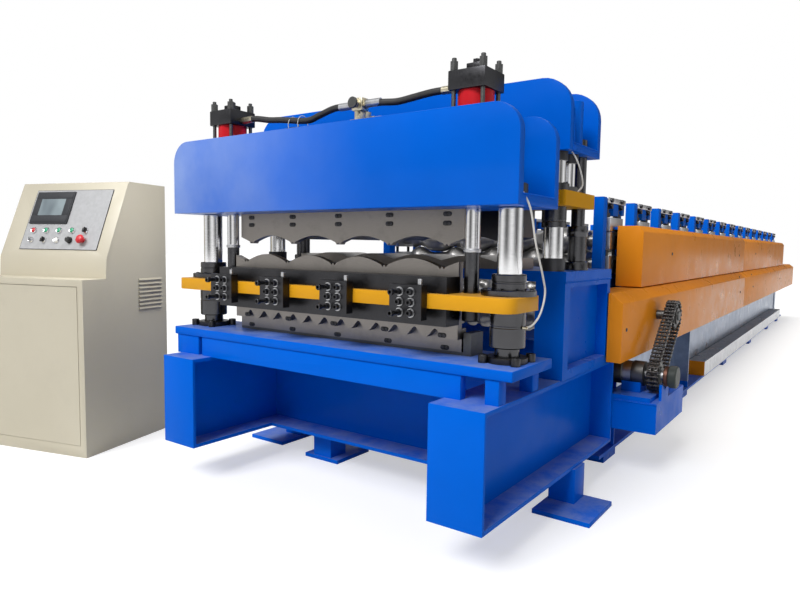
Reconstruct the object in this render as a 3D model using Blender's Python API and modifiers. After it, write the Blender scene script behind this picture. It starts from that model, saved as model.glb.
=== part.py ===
"""Double deck roll forming line for roof sheet, seen from its outgoing end.

Metres, +Z up, +X across the line towards the drive side, +Y back along the line.
Sizes are read off the photograph against the 218 mm pitch of the tile wave on the
shear blades. The last step stands the model on its bounding box's bottom centre.
"""
import math

import bmesh
import bpy
from mathutils import Matrix, Vector

for old in list(bpy.data.objects):
    bpy.data.objects.remove(old, do_unlink=True)

# Clearances
TOUCH = 0.0003
RUNNING = 0.0004
BLADE_GAP = 0.001
OVERLAP = 0.002

# Tile wave and rib sheet
TILE_PITCH = 0.218
RIB_PITCH = 0.0755
RIB_NOTCHES = 12

# Side beams and feet of the shear base
BEAM_X = 0.605
BEAM_WIDTH = 0.176
BEAM_BOTTOM = 0.136
BEAM_TOP = 0.471
BEAM_FRONT = -0.083
BEAM_BACK = 0.9897
BEAM_FLANGE = 0.014
BEAM_WEB = 0.010
END_PLATE = 0.012
CROSS_BEAM_Y = 0.420
CROSS_BEAM_WIDTH = 0.220
FOOT_PLATE = 0.016
FOOT_POST = 0.095
MID_FOOT_X = 0.330
MID_FOOT_Y = 0.510
SIDE_FOOT_X = 0.660
SIDE_FOOT_Y = 0.620

# Bed plate of the shear, the posts under it and the apron in front
BED_HALF = 0.730
BED_FRONT = -0.005
BED_BACK = 0.265
BED_TOP = 0.572
BED_THICK = 0.030
POST_INNER = 0.591
POST_OUTER = 0.720
REAR_POST_INNER = 0.647
REAR_POST_OUTER = 0.689
POST_DEPTH = 0.045
APRON_HALF = 0.570
APRON_THICK = 0.030

# Shear crosshead
HEAD_HALF = 0.730
HEAD_BOTTOM = 1.013
HEAD_TOP = 1.283
HEAD_BACK = 0.269
HEAD_PLATE = 0.030
HEAD_TIE = 0.028
HEAD_CORNER = 0.080

# Guide columns and sleeves of the shear
COLUMN_X = 0.651
COLUMN_Y = 0.122
COLUMN_R = 0.036
COLUMN_FLANGE_R = 0.060
COLUMN_FLANGE = 0.0175
SLEEVE_R = 0.0517
SLEEVE_BOTTOM = 0.615
SLEEVE_FLANGE_R = 0.079
SLEEVE_FLANGE = 0.017
SLEEVE_COLLAR_R = 0.050
SLEEVE_COLLAR_TOP = 0.825

# Moving plate of the shear, a frame round the die holder
PLATE_HALF = 0.720
PLATE_BACK = 0.205
PLATE_BOTTOM = 0.722
PLATE_TOP = 0.764
PLATE_CORNER = 0.040
WINDOW_HALF = 0.500
WINDOW_FRONT = 0.030
WINDOW_BACK = 0.160

# Die holder, clamp blocks and blades
HOLDER_BOTTOM = 0.668
HOLDER_TOP = 0.812
CLAMP_BOTTOM = 0.688
CLAMP_TOP = 0.789
CLAMP_DEPTH = 0.030
CLAMP_WIDTH = 0.113
CLAMP_X = (-0.418, -0.157, 0.120, 0.397)
BLADE_THICK = 0.025
BLADE_Y = 0.106
BLADE_HALF = 0.495
FIXED_TIP = 0.904
FIXED_ARC = 0.932
MOVING_CREST = 0.863
MOVING_VALLEY = 0.834
BLADE_JOIN = 0.700
RIB_BLADE_BOTTOM = 0.622
RIB_TOOTH = 0.019
RIB_FIXED_TOP = 0.628
RIB_FIXED_BOTTOM = 0.582
UPPER_SLOT_Z = 0.985
LOWER_SLOT_Z = 0.605
SLOT_WIDTH = 0.012
SLOT_LENGTH = 0.020
SLOT_STEP = 0.025
TOOTH_HALF = 0.014
TOOTH_DEEP = 0.008
HOLDER_DEPTH = 0.050
STOP_LEFT = 0.501
STOP_RIGHT = 0.527
STOP_TOP = 0.642

# Shear cylinders and rods
ROD_X = 0.530
ROD_R = 0.0225
ROD_NUT_R = 0.027
ROD_NUT_BOTTOM = 0.681
ROD_RING_R = 0.026
ROD_RING_BOTTOM = 0.884
ROD_RING_TOP = 0.895
ROD_TOP = 1.190
BARREL_R = 0.056
BARREL_TOP = 1.345
CYLINDER_HEAD = 0.120
CYLINDER_HEAD_TOP = 1.400
CUT_UP = 0.075

# Hoses on the shear crosshead
TEE_X = 0.100
TEE_Z = 1.358
TEE_HALF = 0.040
HOSE_R = 0.011
PORT_Z = 1.363
HOSE_GAP = 0.0006

# Step press
PRESS_HALF = 0.700
PRESS_FRONT = 0.423
PRESS_BACK = 0.708
PRESS_BOTTOM = 1.210
PRESS_TOP = 1.440
PRESS_PLATE = 0.030
PRESS_TIE = 0.024
PRESS_CORNER = 0.100
PRESS_LEG = 0.103
PRESS_BED_FRONT = 0.430
PRESS_BED_BACK = 0.889
PRESS_BED_TOP = 0.825
PRESS_BED = 0.035
LEG_PANEL_FRONT = 0.477
LEG_PANEL_BACK = 0.858
LEG_PANEL_TOP = 0.772
LEG_PANEL_DEEP = 0.040
PRESS_MOVING_BOTTOM = 1.035
PRESS_MOVING_TOP = 1.083
PRESS_MOVING_FRONT = 0.400
PRESS_MOVING_BACK = 0.675
PRESS_DOWN = 0.040
POST_SPARE = 0.020
FRONT_COLUMN_X = 0.640
FRONT_COLUMN_Y = 0.462
FRONT_COLUMN_R = 0.033
FRONT_SLEEVE_R = 0.039
FRONT_SLEEVE_BOTTOM = 0.967
FRONT_BASE_TOP = 0.867
REAR_POST_X = 0.655
REAR_POST_Y = 0.638
REAR_POST_R = 0.023
REAR_BUSH_R = 0.030
REAR_FLANGE_R = 0.034
REAR_FLANGE_BOTTOM = 0.941
REAR_BUSH_TOP = 0.974
PRESS_ROD_X = 0.650
PRESS_ROD_Y = 0.552
PRESS_ROD_R = 0.020
PRESS_GLAND_R = 0.028
PRESS_GLAND = 0.030
PRESS_ROD_TOP = 1.300
POST_BOTTOM = 0.880
PRESS_BARREL_R = 0.050
DIE_HALF = 0.490
DIE_FRONT = 0.455
DIE_BACK = 0.650
DIE_LOWER_TOP = 0.870
DIE_UPPER_BOTTOM = 0.922
DIE_STEP = 0.020

# Line base
LINE_FRONT = 0.990
LINE_BACK = 8.300
LINE_BEAM_X = 0.550
LINE_BEAM_WIDTH = 0.200
LINE_BEAM_BOTTOM = 0.050
LINE_BEAM_TOP = 0.450
LINE_FLANGE = 0.014
LINE_WEB = 0.010
LINE_FOOT_PITCH = 1.450
LINE_FOOT = 0.160
LEG_THICK = 0.100

# Roll stands
STAND_COUNT = 15
STAND_PITCH = 0.450
FIRST_STAND = 1.300
STAND_LENGTH = 0.300
STAND_OUTER = 0.560
STAND_THICK = 0.022
STAND_TOP = 1.095
STAND_CAP = 0.025
RAIL_HEIGHT = 0.020
SHAFT_R = 0.026
ROLL_R = 0.050
ROLL_HALF = 0.470
LOWER_DECK = 0.620
UPPER_DECK = 0.883
PASS_GAP = 0.004

# Chain guards
GUARD_INNER = 0.600
UPPER_GUARD_X = 0.710
UPPER_GUARD_BOTTOM = 0.740
UPPER_GUARD_TOP = 1.000
UPPER_GUARD_FRONT = 1.270
UPPER_GUARD_BACK = 7.400
UPPER_GUARD_SEAM = 4.200
UPPER_CHAMFER = (0.020, 0.025)
LOWER_GUARD_X = 0.757
LOWER_GUARD_BOTTOM = 0.4745
LOWER_GUARD_TOP = 0.735
LOWER_GUARD_FRONT = 0.860
LOWER_GUARD_BACK = 8.290
LOWER_GUARD_SEAM = 3.950
LOWER_CHAMFER = (0.046, 0.037)
SEAM_GAP = 0.002
GUARD_SHEET = 0.004
GUARD_PAD_STANDS = (0, 3, 6, 9, 12)
GUARD_ARM_STANDS = (0, 3, 6, 7, 10, 13)
GUARD_ARM = 0.012

# Drive beside the first stands
BRACKET_INNER = 0.640
BRACKET_OUTER = 0.860
BRACKET_FRONT = 0.995
BRACKET_BACK = 1.450
BRACKET_BOTTOM = 0.190
BRACKET_TOP = 0.310
BRACKET_PLATE = 0.018
PLATE_INNER = 0.690
PLATE_OUTER = 0.835
CHEEK_TOP = 0.372
CHEEK_THICK = 0.010
SADDLE_INNER = 0.700
SADDLE_OUTER = 0.775
REDUCER_Y = 1.120
REDUCER_Z = 0.400
REDUCER_R = 0.050
REDUCER_INNER = 0.600
REDUCER_OUTER = 0.905
CHAIN_X = 0.822
CHAIN_WIDTH = 0.048
CHAIN_THICK = 0.016
CHAIN_STEPS = 10
UPPER_SPROCKET_Y = 1.360
UPPER_SPROCKET_Z = 0.620
SPROCKET_R = 0.050
SPROCKET_WIDTH = 0.036
SHAFT_END_R = 0.020

# Trough lying on the line beam's bottom flange
TROUGH_INNER = 0.558
TROUGH_OUTER = 0.660
TROUGH_TOP = 0.160
TROUGH_FRONT = 3.080
TROUGH_BACK = 8.000

# Control cabinet, placed by its front right foot and turned about it
CABINET_PLACE = (-1.107, -0.173, 0.0)
CABINET_TURN = math.radians(16.2)
CABINET_WIDTH = 0.610
CABINET_DEPTH = 0.505
CABINET_LEDGE = 0.742
LIP_BOTTOM_BACK = 0.127
LIP_TOP_BACK = 0.132
LIP_TOP = 0.827
SLOPE_TOP_BACK = 0.270
SLOPE_TOP = 1.161
CABINET_TOP = 1.165
CABINET_WALL = 0.012
CABINET_ROOM_TOP = 0.720
DOOR_SHEET = 0.018
DOOR_MARGIN = 0.030
DOOR_BOTTOM = 0.050
DOOR_TOP = 0.712
DOOR_GAP = 0.002
DOOR_STEP = 0.015
DOOR_PROUD = 0.002

# Operator's panel, in its own slope: across from its middle, and up it
PANEL_ACROSS = (-0.200, 0.238)
PANEL_UP = (-0.142, 0.145)
PANEL_THICK = 0.003
BEZEL_ACROSS = (-0.187, 0.032)
BEZEL_UP = (-0.020, 0.135)
BEZEL_THICK = 0.006
FIRST_CONTROL = -0.146
CONTROL_PITCH = 0.0745
UPPER_ROW = -0.053
LOWER_ROW = -0.100
CONTROL_BORE_R = 0.013
CONTROL_SIDES = 12
CONTROL_DEEP = 0.022
CONTROL_STEM_R = 0.0095
BUTTON_RIM_R = 0.0148
BUTTON_RISE = 0.009
BUTTON_TRAVEL = 0.004
KNOB_RISE = 0.020
STOP_R = 0.020
STOP_RISE = 0.030
STOP_TRAVEL = 0.006
GRIPS = {"turn": (0.004, 0.012), "key": (0.0012, 0.009)}

main = bpy.data.collections.new("roll_forming_machine")
bpy.context.scene.collection.children.link(main)
helpers = bpy.data.collections.new("cutters")
bpy.context.scene.collection.children.link(helpers)


def material(name, colour, roughness, metallic=0.0):
    made = bpy.data.materials.new(name)
    made.use_nodes = True
    shader = made.node_tree.nodes["Principled BSDF"]
    shader.inputs["Base Color"].default_value = (*colour, 1.0)
    shader.inputs["Roughness"].default_value = roughness
    shader.inputs["Metallic"].default_value = metallic
    return made


BLUE = material("blue_paint", (0.0, 0.12, 0.60), 0.35)
YELLOW = material("yellow_paint", (0.85, 0.40, 0.02), 0.4)
ORANGE = material("orange_paint", (0.75, 0.25, 0.02), 0.35)
CHROME = material("chrome", (0.80, 0.80, 0.82), 0.12, 1.0)
BLACK_STEEL = material("blackened_steel", (0.04, 0.04, 0.045), 0.4, 0.8)
TOOL_STEEL = material("tool_steel", (0.42, 0.40, 0.38), 0.35, 1.0)
PLATE_STEEL = material("plate_steel", (0.45, 0.45, 0.47), 0.4, 1.0)
RED = material("red_paint", (0.60, 0.02, 0.03), 0.4)
HOSE = material("black_hose", (0.02, 0.02, 0.022), 0.5)
BEIGE = material("beige_paint", (0.62, 0.57, 0.45), 0.45)
PANEL = material("panel_grey", (0.35, 0.36, 0.36), 0.4)
GREEN = material("green_plastic", (0.02, 0.30, 0.12), 0.35)
WHITE = material("white_plastic", (0.75, 0.75, 0.75), 0.4)


def new_object(name, mesh):
    made = bpy.data.objects.new(name, mesh)
    helpers.objects.link(made)
    return made


def from_bmesh(name, bm):
    mesh = bpy.data.meshes.new(name)
    bm.to_mesh(mesh)
    bm.free()
    return new_object(name, mesh)


def box(x, y, z):
    """Block between two values on each axis."""
    bm = bmesh.new()
    bmesh.ops.create_cube(bm, size=1.0)
    sizes = [b - a for a, b in (x, y, z)]
    centre = [(a + b) / 2 for a, b in (x, y, z)]
    bmesh.ops.transform(bm, matrix=Matrix.Translation(centre) @ Matrix.Diagonal((*sizes, 1)), verts=bm.verts)
    return from_bmesh("block", bm)


AXIS_TURN = {
    "X": Matrix.Rotation(math.radians(90), 4, "Y"),
    "Y": Matrix.Rotation(math.radians(-90), 4, "X"),
    "Z": Matrix.Identity(4),
}


def cylinder(axis, centre, radius, span, segments=20):
    """Round bar along one axis, between two values on it."""
    bm = bmesh.new()
    bmesh.ops.create_cone(
        bm, cap_ends=True, segments=segments, radius1=radius, radius2=radius, depth=span[1] - span[0]
    )
    place = list(centre)
    place["XYZ".index(axis)] = (span[0] + span[1]) / 2
    bmesh.ops.transform(bm, matrix=Matrix.Translation(place) @ AXIS_TURN[axis], verts=bm.verts)
    return from_bmesh("bar", bm)


PLANE_TURN = {
    # Each maps the drawing's own x, y and thickness to the model's axes.
    "XZ": Matrix(((1, 0, 0, 0), (0, 0, -1, 0), (0, 1, 0, 0), (0, 0, 0, 1))),
    "YZ": Matrix(((0, 0, 1, 0), (1, 0, 0, 0), (0, 1, 0, 0), (0, 0, 0, 1))),
    "XY": Matrix.Identity(4),
}


def outline(plane, loops, span):
    """Flat plate from closed loops in a plane, between two values on the third axis."""
    curve = bpy.data.curves.new("outline", "CURVE")
    curve.dimensions = "2D"
    curve.fill_mode = "BOTH"
    curve.extrude = (span[1] - span[0]) / 2
    for loop in loops:
        spline = curve.splines.new("POLY")
        spline.points.add(len(loop) - 1)
        for point, (u, v) in zip(spline.points, loop):
            point.co = (u, v, 0.0, 1.0)
        spline.use_cyclic_u = True
    drawn = new_object("outline", curve)
    bpy.context.view_layer.update()
    graph = bpy.context.evaluated_depsgraph_get()
    mesh = bpy.data.meshes.new_from_object(drawn.evaluated_get(graph))
    bpy.data.objects.remove(drawn, do_unlink=True)
    middle = (span[0] + span[1]) / 2
    shift = {"XZ": (0, middle, 0), "YZ": (middle, 0, 0), "XY": (0, 0, middle)}[plane]
    bm = bmesh.new()
    bm.from_mesh(mesh)
    bmesh.ops.remove_doubles(bm, verts=bm.verts, dist=0.00001)
    bmesh.ops.transform(bm, matrix=Matrix.Translation(shift) @ PLANE_TURN[plane], verts=bm.verts)
    bmesh.ops.recalc_face_normals(bm, faces=bm.faces)
    bpy.data.meshes.remove(mesh)
    return from_bmesh("plate", bm)


def turned(profile, place, axis="Z", segments=20, ring=False):
    """Turned piece: radius and height pairs, top to bottom down the outer side."""
    bm = bmesh.new()
    points = [bm.verts.new((radius, 0.0, height)) for radius, height in profile]
    for first, second in zip(points, points[1:] + points[:1] if ring else points[1:]):
        bm.edges.new((first, second))
    made = from_bmesh("turned", bm)
    screw = made.modifiers.new("Screw", "SCREW")
    screw.axis = "Z"
    screw.steps = segments
    screw.render_steps = segments
    screw.use_merge_vertices = True
    screw.merge_threshold = 0.0001
    made.matrix_world = Matrix.Translation(place) @ AXIS_TURN[axis]
    return made


def arc(centre, radius, start, end, steps=6):
    """Points on an arc, in degrees."""
    turns = [math.radians(start + (end - start) * i / steps) for i in range(steps + 1)]
    return [(centre[0] + radius * math.cos(t), centre[1] + radius * math.sin(t)) for t in turns]


def hole(centre, radius, steps=20):
    """Round hole loop whose flats stay a small gap clear of a bar of this radius."""
    return arc(centre, radius / math.cos(math.pi / steps) + TOUCH, 0, 360 * (steps - 1) / steps, steps - 1)


def oblong(centre, length, height, steps=3):
    """Slot loop lying along its drawing's first axis."""
    half = (length - height) / 2
    right = arc((centre[0] + half, centre[1]), height / 2, -90, 90, steps)
    left = arc((centre[0] - half, centre[1]), height / 2, 90, 270, steps)
    return right + left


def rounded(x, y, radius, steps=5):
    """Rectangle loop with round corners."""
    (x0, x1), (y0, y1) = x, y
    corners = ((x1 - radius, y1 - radius, 0), (x0 + radius, y1 - radius, 90),
               (x0 + radius, y0 + radius, 180), (x1 - radius, y0 + radius, 270))
    points = []
    for cx, cy, start in corners:
        points += arc((cx, cy), radius, start, start + 90, steps)
    return points


def gather(name, pieces):
    group = bpy.data.collections.new(name)
    helpers.children.link(group)
    for piece in pieces:
        helpers.objects.unlink(piece)
        group.objects.link(piece)
        piece.hide_render = True
        piece.display_type = "WIRE"
    return group


def node(name, surface, pieces, cuts=(), smooth=False, parent=None):
    """One closed body: the first piece joined with the rest, less the cuts."""
    for piece in list(pieces) + list(cuts):
        piece.parent = parent
    body = pieces[0]
    body.name = name
    body.data.name = name
    helpers.objects.unlink(body)
    main.objects.link(body)
    body.data.materials.clear()
    body.data.materials.append(surface)
    for operation, others in (("UNION", pieces[1:]), ("DIFFERENCE", cuts)):
        if not others:
            continue
        boolean = body.modifiers.new(operation.title(), "BOOLEAN")
        boolean.operation = operation
        boolean.solver = "EXACT"
        boolean.operand_type = "COLLECTION"
        boolean.collection = gather(name + "_" + operation.lower(), others)
    if smooth:
        body.data.shade_smooth()
        body.data.set_sharp_from_angle(angle=math.radians(40))
    return body


def i_beam(axis, middle, span, z, width, flange, web):
    """Rolled beam along X or Y: two flanges and a web."""
    def placed(half, heights):
        across = (middle - half, middle + half)
        return box(span, across, heights) if axis == "X" else box(across, span, heights)

    return [
        placed(width / 2, (z[0], z[0] + flange)),
        placed(width / 2, (z[1] - flange, z[1])),
        placed(web / 2, (z[0] + flange - OVERLAP, z[1] - flange + OVERLAP)),
    ]


BED_BOTTOM = BED_TOP - BED_THICK
FIXED_Y = BLADE_Y + BLADE_THICK + BLADE_GAP
SIDES = (("left", -1), ("right", 1))


def mirrored(side, inner, outer):
    """Range on X for one side, from the sizes on the right."""
    return sorted((side * inner, side * outer))


def foot(x, y, plate_x, plate_y, top):
    """Square post on a floor plate."""
    half = FOOT_POST / 2
    return [
        box((x - half, x + half), (y - half, y + half), (FOOT_PLATE - OVERLAP, top + OVERLAP)),
        box(plate_x, plate_y, (0.0, FOOT_PLATE)),
    ]


def shear_base():
    """Side beams with closed ends, the cross beam, feet, apron and the bed's small posts."""
    pieces = []
    heights = (BEAM_BOTTOM, BEAM_TOP)
    half = BEAM_WIDTH / 2
    for _, side in SIDES:
        x = side * BEAM_X
        pieces += i_beam("Y", x, (BEAM_FRONT, BEAM_BACK), heights, BEAM_WIDTH, BEAM_FLANGE, BEAM_WEB)
        for y in ((BEAM_FRONT, BEAM_FRONT + END_PLATE), (BEAM_BACK - END_PLATE, BEAM_BACK)):
            pieces.append(box((x - half, x + half), y, heights))
        plate = mirrored(side, SIDE_FOOT_X - 0.060, SIDE_FOOT_X + 0.140)
        foot_x = side * (SIDE_FOOT_X - 0.005)
        pieces += foot(foot_x, SIDE_FOOT_Y, plate, (SIDE_FOOT_Y - 0.170, SIDE_FOOT_Y + 0.060), BEAM_BOTTOM)
        plate = mirrored(side, MID_FOOT_X - 0.090, MID_FOOT_X + 0.090)
        pieces += foot(
            side * MID_FOOT_X, MID_FOOT_Y - 0.045, plate, (MID_FOOT_Y - 0.100, MID_FOOT_Y + 0.110), BEAM_BOTTOM
        )
    pieces += i_beam(
        "X", CROSS_BEAM_Y, (-BEAM_X, BEAM_X), heights, CROSS_BEAM_WIDTH, BEAM_FLANGE - 0.001, BEAM_WEB
    )
    rise = (BEAM_TOP - OVERLAP, BED_BOTTOM - TOUCH)
    pieces.append(box((-POST_OUTER, -POST_INNER), (0.0, POST_DEPTH), rise))
    pieces.append(box((REAR_POST_INNER, REAR_POST_OUTER), (0.0, POST_DEPTH), rise))
    for _, side in SIDES:
        pieces.append(box(mirrored(side, REAR_POST_INNER, REAR_POST_OUTER), (BED_BACK - POST_DEPTH, BED_BACK), rise))
    pieces.append(box((-APRON_HALF, APRON_HALF), (0.0, APRON_THICK), rise))
    node("shear_base", BLUE, pieces)


def shear_bed():
    node("shear_bed_plate", BLUE, [box((-BED_HALF, BED_HALF), (BED_FRONT, BED_BACK), (BED_BOTTOM, BED_TOP))])


def head_plate(half, z, corner, span):
    bottom, top = z
    right = arc((half - corner, top - corner), corner, 0, 90, 8)
    left = arc((-half + corner, top - corner), corner, 90, 180, 8)
    return outline("XZ", [[(half, bottom)] + right + left + [(-half, bottom)]], span)


def shear_crosshead():
    """Two tall plates and the tie plate between them at the bottom, bored for columns and rods."""
    heights = (HEAD_BOTTOM, HEAD_TOP)
    pieces = [
        head_plate(HEAD_HALF, heights, HEAD_CORNER, (0.0, HEAD_PLATE)),
        head_plate(HEAD_HALF, heights, HEAD_CORNER, (HEAD_BACK - HEAD_PLATE, HEAD_BACK)),
        box(
            (-HEAD_HALF, HEAD_HALF), (HEAD_PLATE - OVERLAP, HEAD_BACK - HEAD_PLATE + OVERLAP),
            (HEAD_BOTTOM, HEAD_BOTTOM + HEAD_TIE),
        ),
    ]
    cuts = []
    for _, side in SIDES:
        for x, radius in ((COLUMN_X, COLUMN_R + RUNNING), (ROD_X, ROD_R + 0.004)):
            cuts.append(cylinder("Z", (side * x, COLUMN_Y, 0), radius, (HEAD_BOTTOM - 0.01, HEAD_BOTTOM + 0.05)))
    node("shear_crosshead", BLUE, pieces, cuts)


def shear_columns():
    """Chrome columns with a flanged foot, and a nut above the crosshead's tie plate."""
    foot_z = BED_TOP + TOUCH
    nut = HEAD_BOTTOM + HEAD_TIE + TOUCH
    profile = [
        (0.0, nut + 0.040), (0.046, nut + 0.040), (0.046, nut), (COLUMN_R, nut),
        (COLUMN_R, foot_z + COLUMN_FLANGE), (COLUMN_FLANGE_R, foot_z + COLUMN_FLANGE),
        (COLUMN_FLANGE_R, foot_z), (0.0, foot_z),
    ]
    for name, side in SIDES:
        node("shear_column_" + name, CHROME, [turned(profile, (side * COLUMN_X, COLUMN_Y, 0))], smooth=True)


def shear_moving():
    """Yellow frame plate that slides on the columns, with its flanged sleeves."""
    loops = [
        rounded((-PLATE_HALF, PLATE_HALF), (0.0, PLATE_BACK), PLATE_CORNER),
        [(-WINDOW_HALF, WINDOW_FRONT), (WINDOW_HALF, WINDOW_FRONT), (WINDOW_HALF, WINDOW_BACK),
         (-WINDOW_HALF, WINDOW_BACK)],
    ]
    for _, side in SIDES:
        loops.append(hole((side * COLUMN_X, COLUMN_Y), SLEEVE_R))
        loops.append(hole((side * ROD_X, COLUMN_Y), ROD_R, 16))
    node("shear_moving_plate", YELLOW, [outline("XY", loops, (PLATE_BOTTOM, PLATE_TOP))])
    inner = COLUMN_R + RUNNING
    seat = PLATE_TOP + TOUCH
    profile = [
        (inner, SLEEVE_COLLAR_TOP), (SLEEVE_COLLAR_R, SLEEVE_COLLAR_TOP), (SLEEVE_COLLAR_R, seat + SLEEVE_FLANGE),
        (SLEEVE_FLANGE_R, seat + SLEEVE_FLANGE), (SLEEVE_FLANGE_R, seat), (SLEEVE_R, seat),
        (SLEEVE_R, SLEEVE_BOTTOM), (inner, SLEEVE_BOTTOM),
    ]
    for name, side in SIDES:
        sleeve = turned(profile, (side * COLUMN_X, COLUMN_Y, 0), ring=True)
        node("shear_sleeve_" + name, BLACK_STEEL, [sleeve], smooth=True)


def die_holder():
    """Dark bar through the moving plate's window, and the clamp blocks in front of the plate."""
    gap = TOUCH
    y = (WINDOW_FRONT + gap, BLADE_Y - TOUCH)
    half = WINDOW_HALF - gap
    node("moving_die_holder", BLACK_STEEL, [box((-half, half), y, (HOLDER_BOTTOM, HOLDER_TOP))])
    for i, x in enumerate(CLAMP_X, 1):
        width = (x - CLAMP_WIDTH / 2, x + CLAMP_WIDTH / 2)
        block = box(width, (-TOUCH - CLAMP_DEPTH, -TOUCH), (CLAMP_BOTTOM, CLAMP_TOP))
        node(f"blade_clamp_{i}", BLACK_STEEL, [block])


def wave(x, low, high):
    """Height of the tile wave: low at each multiple of the pitch, high halfway between."""
    return low + (high - low) * math.sin(math.pi * ((x / TILE_PITCH) % 1.0))


def tile_edge(low, high, ends, steps=8):
    """Edge of a tile blade from left to right, with a small tooth pair at each low point."""
    first = math.ceil((ends[0] + TOOTH_HALF) / TILE_PITCH)
    last = math.floor((ends[1] - TOOTH_HALF) / TILE_PITCH)
    points = [(ends[0], wave(ends[0], low, high))]
    for valley in range(first, last + 1):
        x = valley * TILE_PITCH
        shoulder = wave(x + TOOTH_HALF, low, high)
        points += [
            (x - TOOTH_HALF, shoulder), (x - TOOTH_HALF / 2, shoulder - TOOTH_DEEP), (x, shoulder),
            (x + TOOTH_HALF / 2, shoulder - TOOTH_DEEP), (x + TOOTH_HALF, shoulder),
        ]
        if valley < last:
            for i in range(1, steps):
                u = x + TOOTH_HALF + (TILE_PITCH - 2 * TOOTH_HALF) * i / steps
                points.append((u, wave(u, low, high)))
    points.append((ends[1], wave(ends[1], low, high)))
    return points


def rib_edge(level, tooth, ends):
    """Edge with one small triangular notch at each rib."""
    points = [(ends[0], level)]
    first = -RIB_PITCH * (RIB_NOTCHES - 1) / 2
    for i in range(RIB_NOTCHES):
        x = first + RIB_PITCH * i
        points += [(x - 0.011, level), (x, level + tooth), (x + 0.011, level)]
    points.append((ends[1], level))
    return points


def slots(z):
    valleys = [TILE_PITCH * i for i in range(-2, 3)]
    return [
        oblong((x, z + side * SLOT_STEP / 2), SLOT_LENGTH, SLOT_WIDTH) for x in valleys for side in (-1, 1)
    ]


def shear_blades():
    """Two profiled blades to a deck: one moving, one fixed just behind it."""
    ends = (-BLADE_HALF, BLADE_HALF)
    fixed = (FIXED_Y, FIXED_Y + BLADE_THICK)
    moving = (BLADE_Y, BLADE_Y + BLADE_THICK)
    top = HEAD_BOTTOM - TOUCH
    loops = [tile_edge(FIXED_TIP, FIXED_ARC, ends) + [(ends[1], top), (ends[0], top)]] + slots(UPPER_SLOT_Z)
    node("upper_fixed_blade", TOOL_STEEL, [outline("XZ", loops, fixed)])
    edge = tile_edge(MOVING_VALLEY, MOVING_CREST, ends)
    loops = [edge + [(ends[1], BLADE_JOIN), (ends[0], BLADE_JOIN)]]
    node("upper_moving_blade", TOOL_STEEL, [outline("XZ", loops, moving)])
    top = BLADE_JOIN - TOUCH
    loops = [rib_edge(RIB_BLADE_BOTTOM, RIB_TOOTH, ends) + [(ends[1], top), (ends[0], top)]]
    node("lower_moving_blade", TOOL_STEEL, [outline("XZ", loops, moving)])
    base = RIB_FIXED_BOTTOM + TOUCH
    block = [(ends[0], RIB_FIXED_TOP), (ends[1], RIB_FIXED_TOP), (ends[1], base), (ends[0], base)]
    node("lower_fixed_blade", TOOL_STEEL, [outline("XZ", [block] + slots(LOWER_SLOT_Z), fixed)])


def blade_holders():
    """Bars behind the fixed blades; the lower one has a foot strip and an end stop."""
    behind = FIXED_Y + BLADE_THICK + TOUCH
    y = (behind, behind + HOLDER_DEPTH)
    ends = (-BLADE_HALF, BLADE_HALF)
    node("upper_blade_holder", BLACK_STEEL, [box(ends, y, (FIXED_ARC, HEAD_BOTTOM - TOUCH))])
    strip = (BED_TOP + TOUCH, RIB_FIXED_BOTTOM)
    pieces = [
        box((-BLADE_HALF, STOP_RIGHT), (FIXED_Y, y[1]), strip),
        box(ends, y, (RIB_FIXED_BOTTOM - OVERLAP, RIB_FIXED_TOP - 0.010)),
        box((STOP_LEFT, STOP_RIGHT), (FIXED_Y, y[1]), (RIB_FIXED_BOTTOM - OVERLAP, STOP_TOP)),
    ]
    node("lower_blade_holder", BLUE, pieces)


def shear_drive():
    """Cylinders on the crosshead's tie plate and the rods down to the moving plate."""
    seat = HEAD_BOTTOM + HEAD_TIE + TOUCH
    half = CYLINDER_HEAD / 2
    nut = PLATE_BOTTOM - TOUCH
    profile = [
        (0.0, ROD_TOP), (ROD_R, ROD_TOP), (ROD_R, ROD_RING_TOP), (ROD_RING_R, ROD_RING_TOP),
        (ROD_RING_R, ROD_RING_BOTTOM), (ROD_R, ROD_RING_BOTTOM), (ROD_R, nut), (ROD_NUT_R, nut),
        (ROD_NUT_R, ROD_NUT_BOTTOM), (0.0, ROD_NUT_BOTTOM),
    ]
    for name, side in SIDES:
        place = (side * ROD_X, COLUMN_Y, 0)
        x = (side * ROD_X - half, side * ROD_X + half)
        y = (COLUMN_Y - half, COLUMN_Y + half)
        pieces = [
            cylinder("Z", place, BARREL_R, (seat, BARREL_TOP + OVERLAP)),
            box(x, y, (seat, seat + 0.030)),
            box(x, y, (BARREL_TOP, CYLINDER_HEAD_TOP)),
        ]
        cuts = [cylinder("Z", place, ROD_R + RUNNING, (seat - 0.01, ROD_TOP + CUT_UP + 0.020), 16)]
        node("shear_cylinder_" + name, RED, pieces, cuts)
        node("shear_rod_" + name, CHROME, [turned(profile, place, segments=16)], smooth=True)


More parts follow.
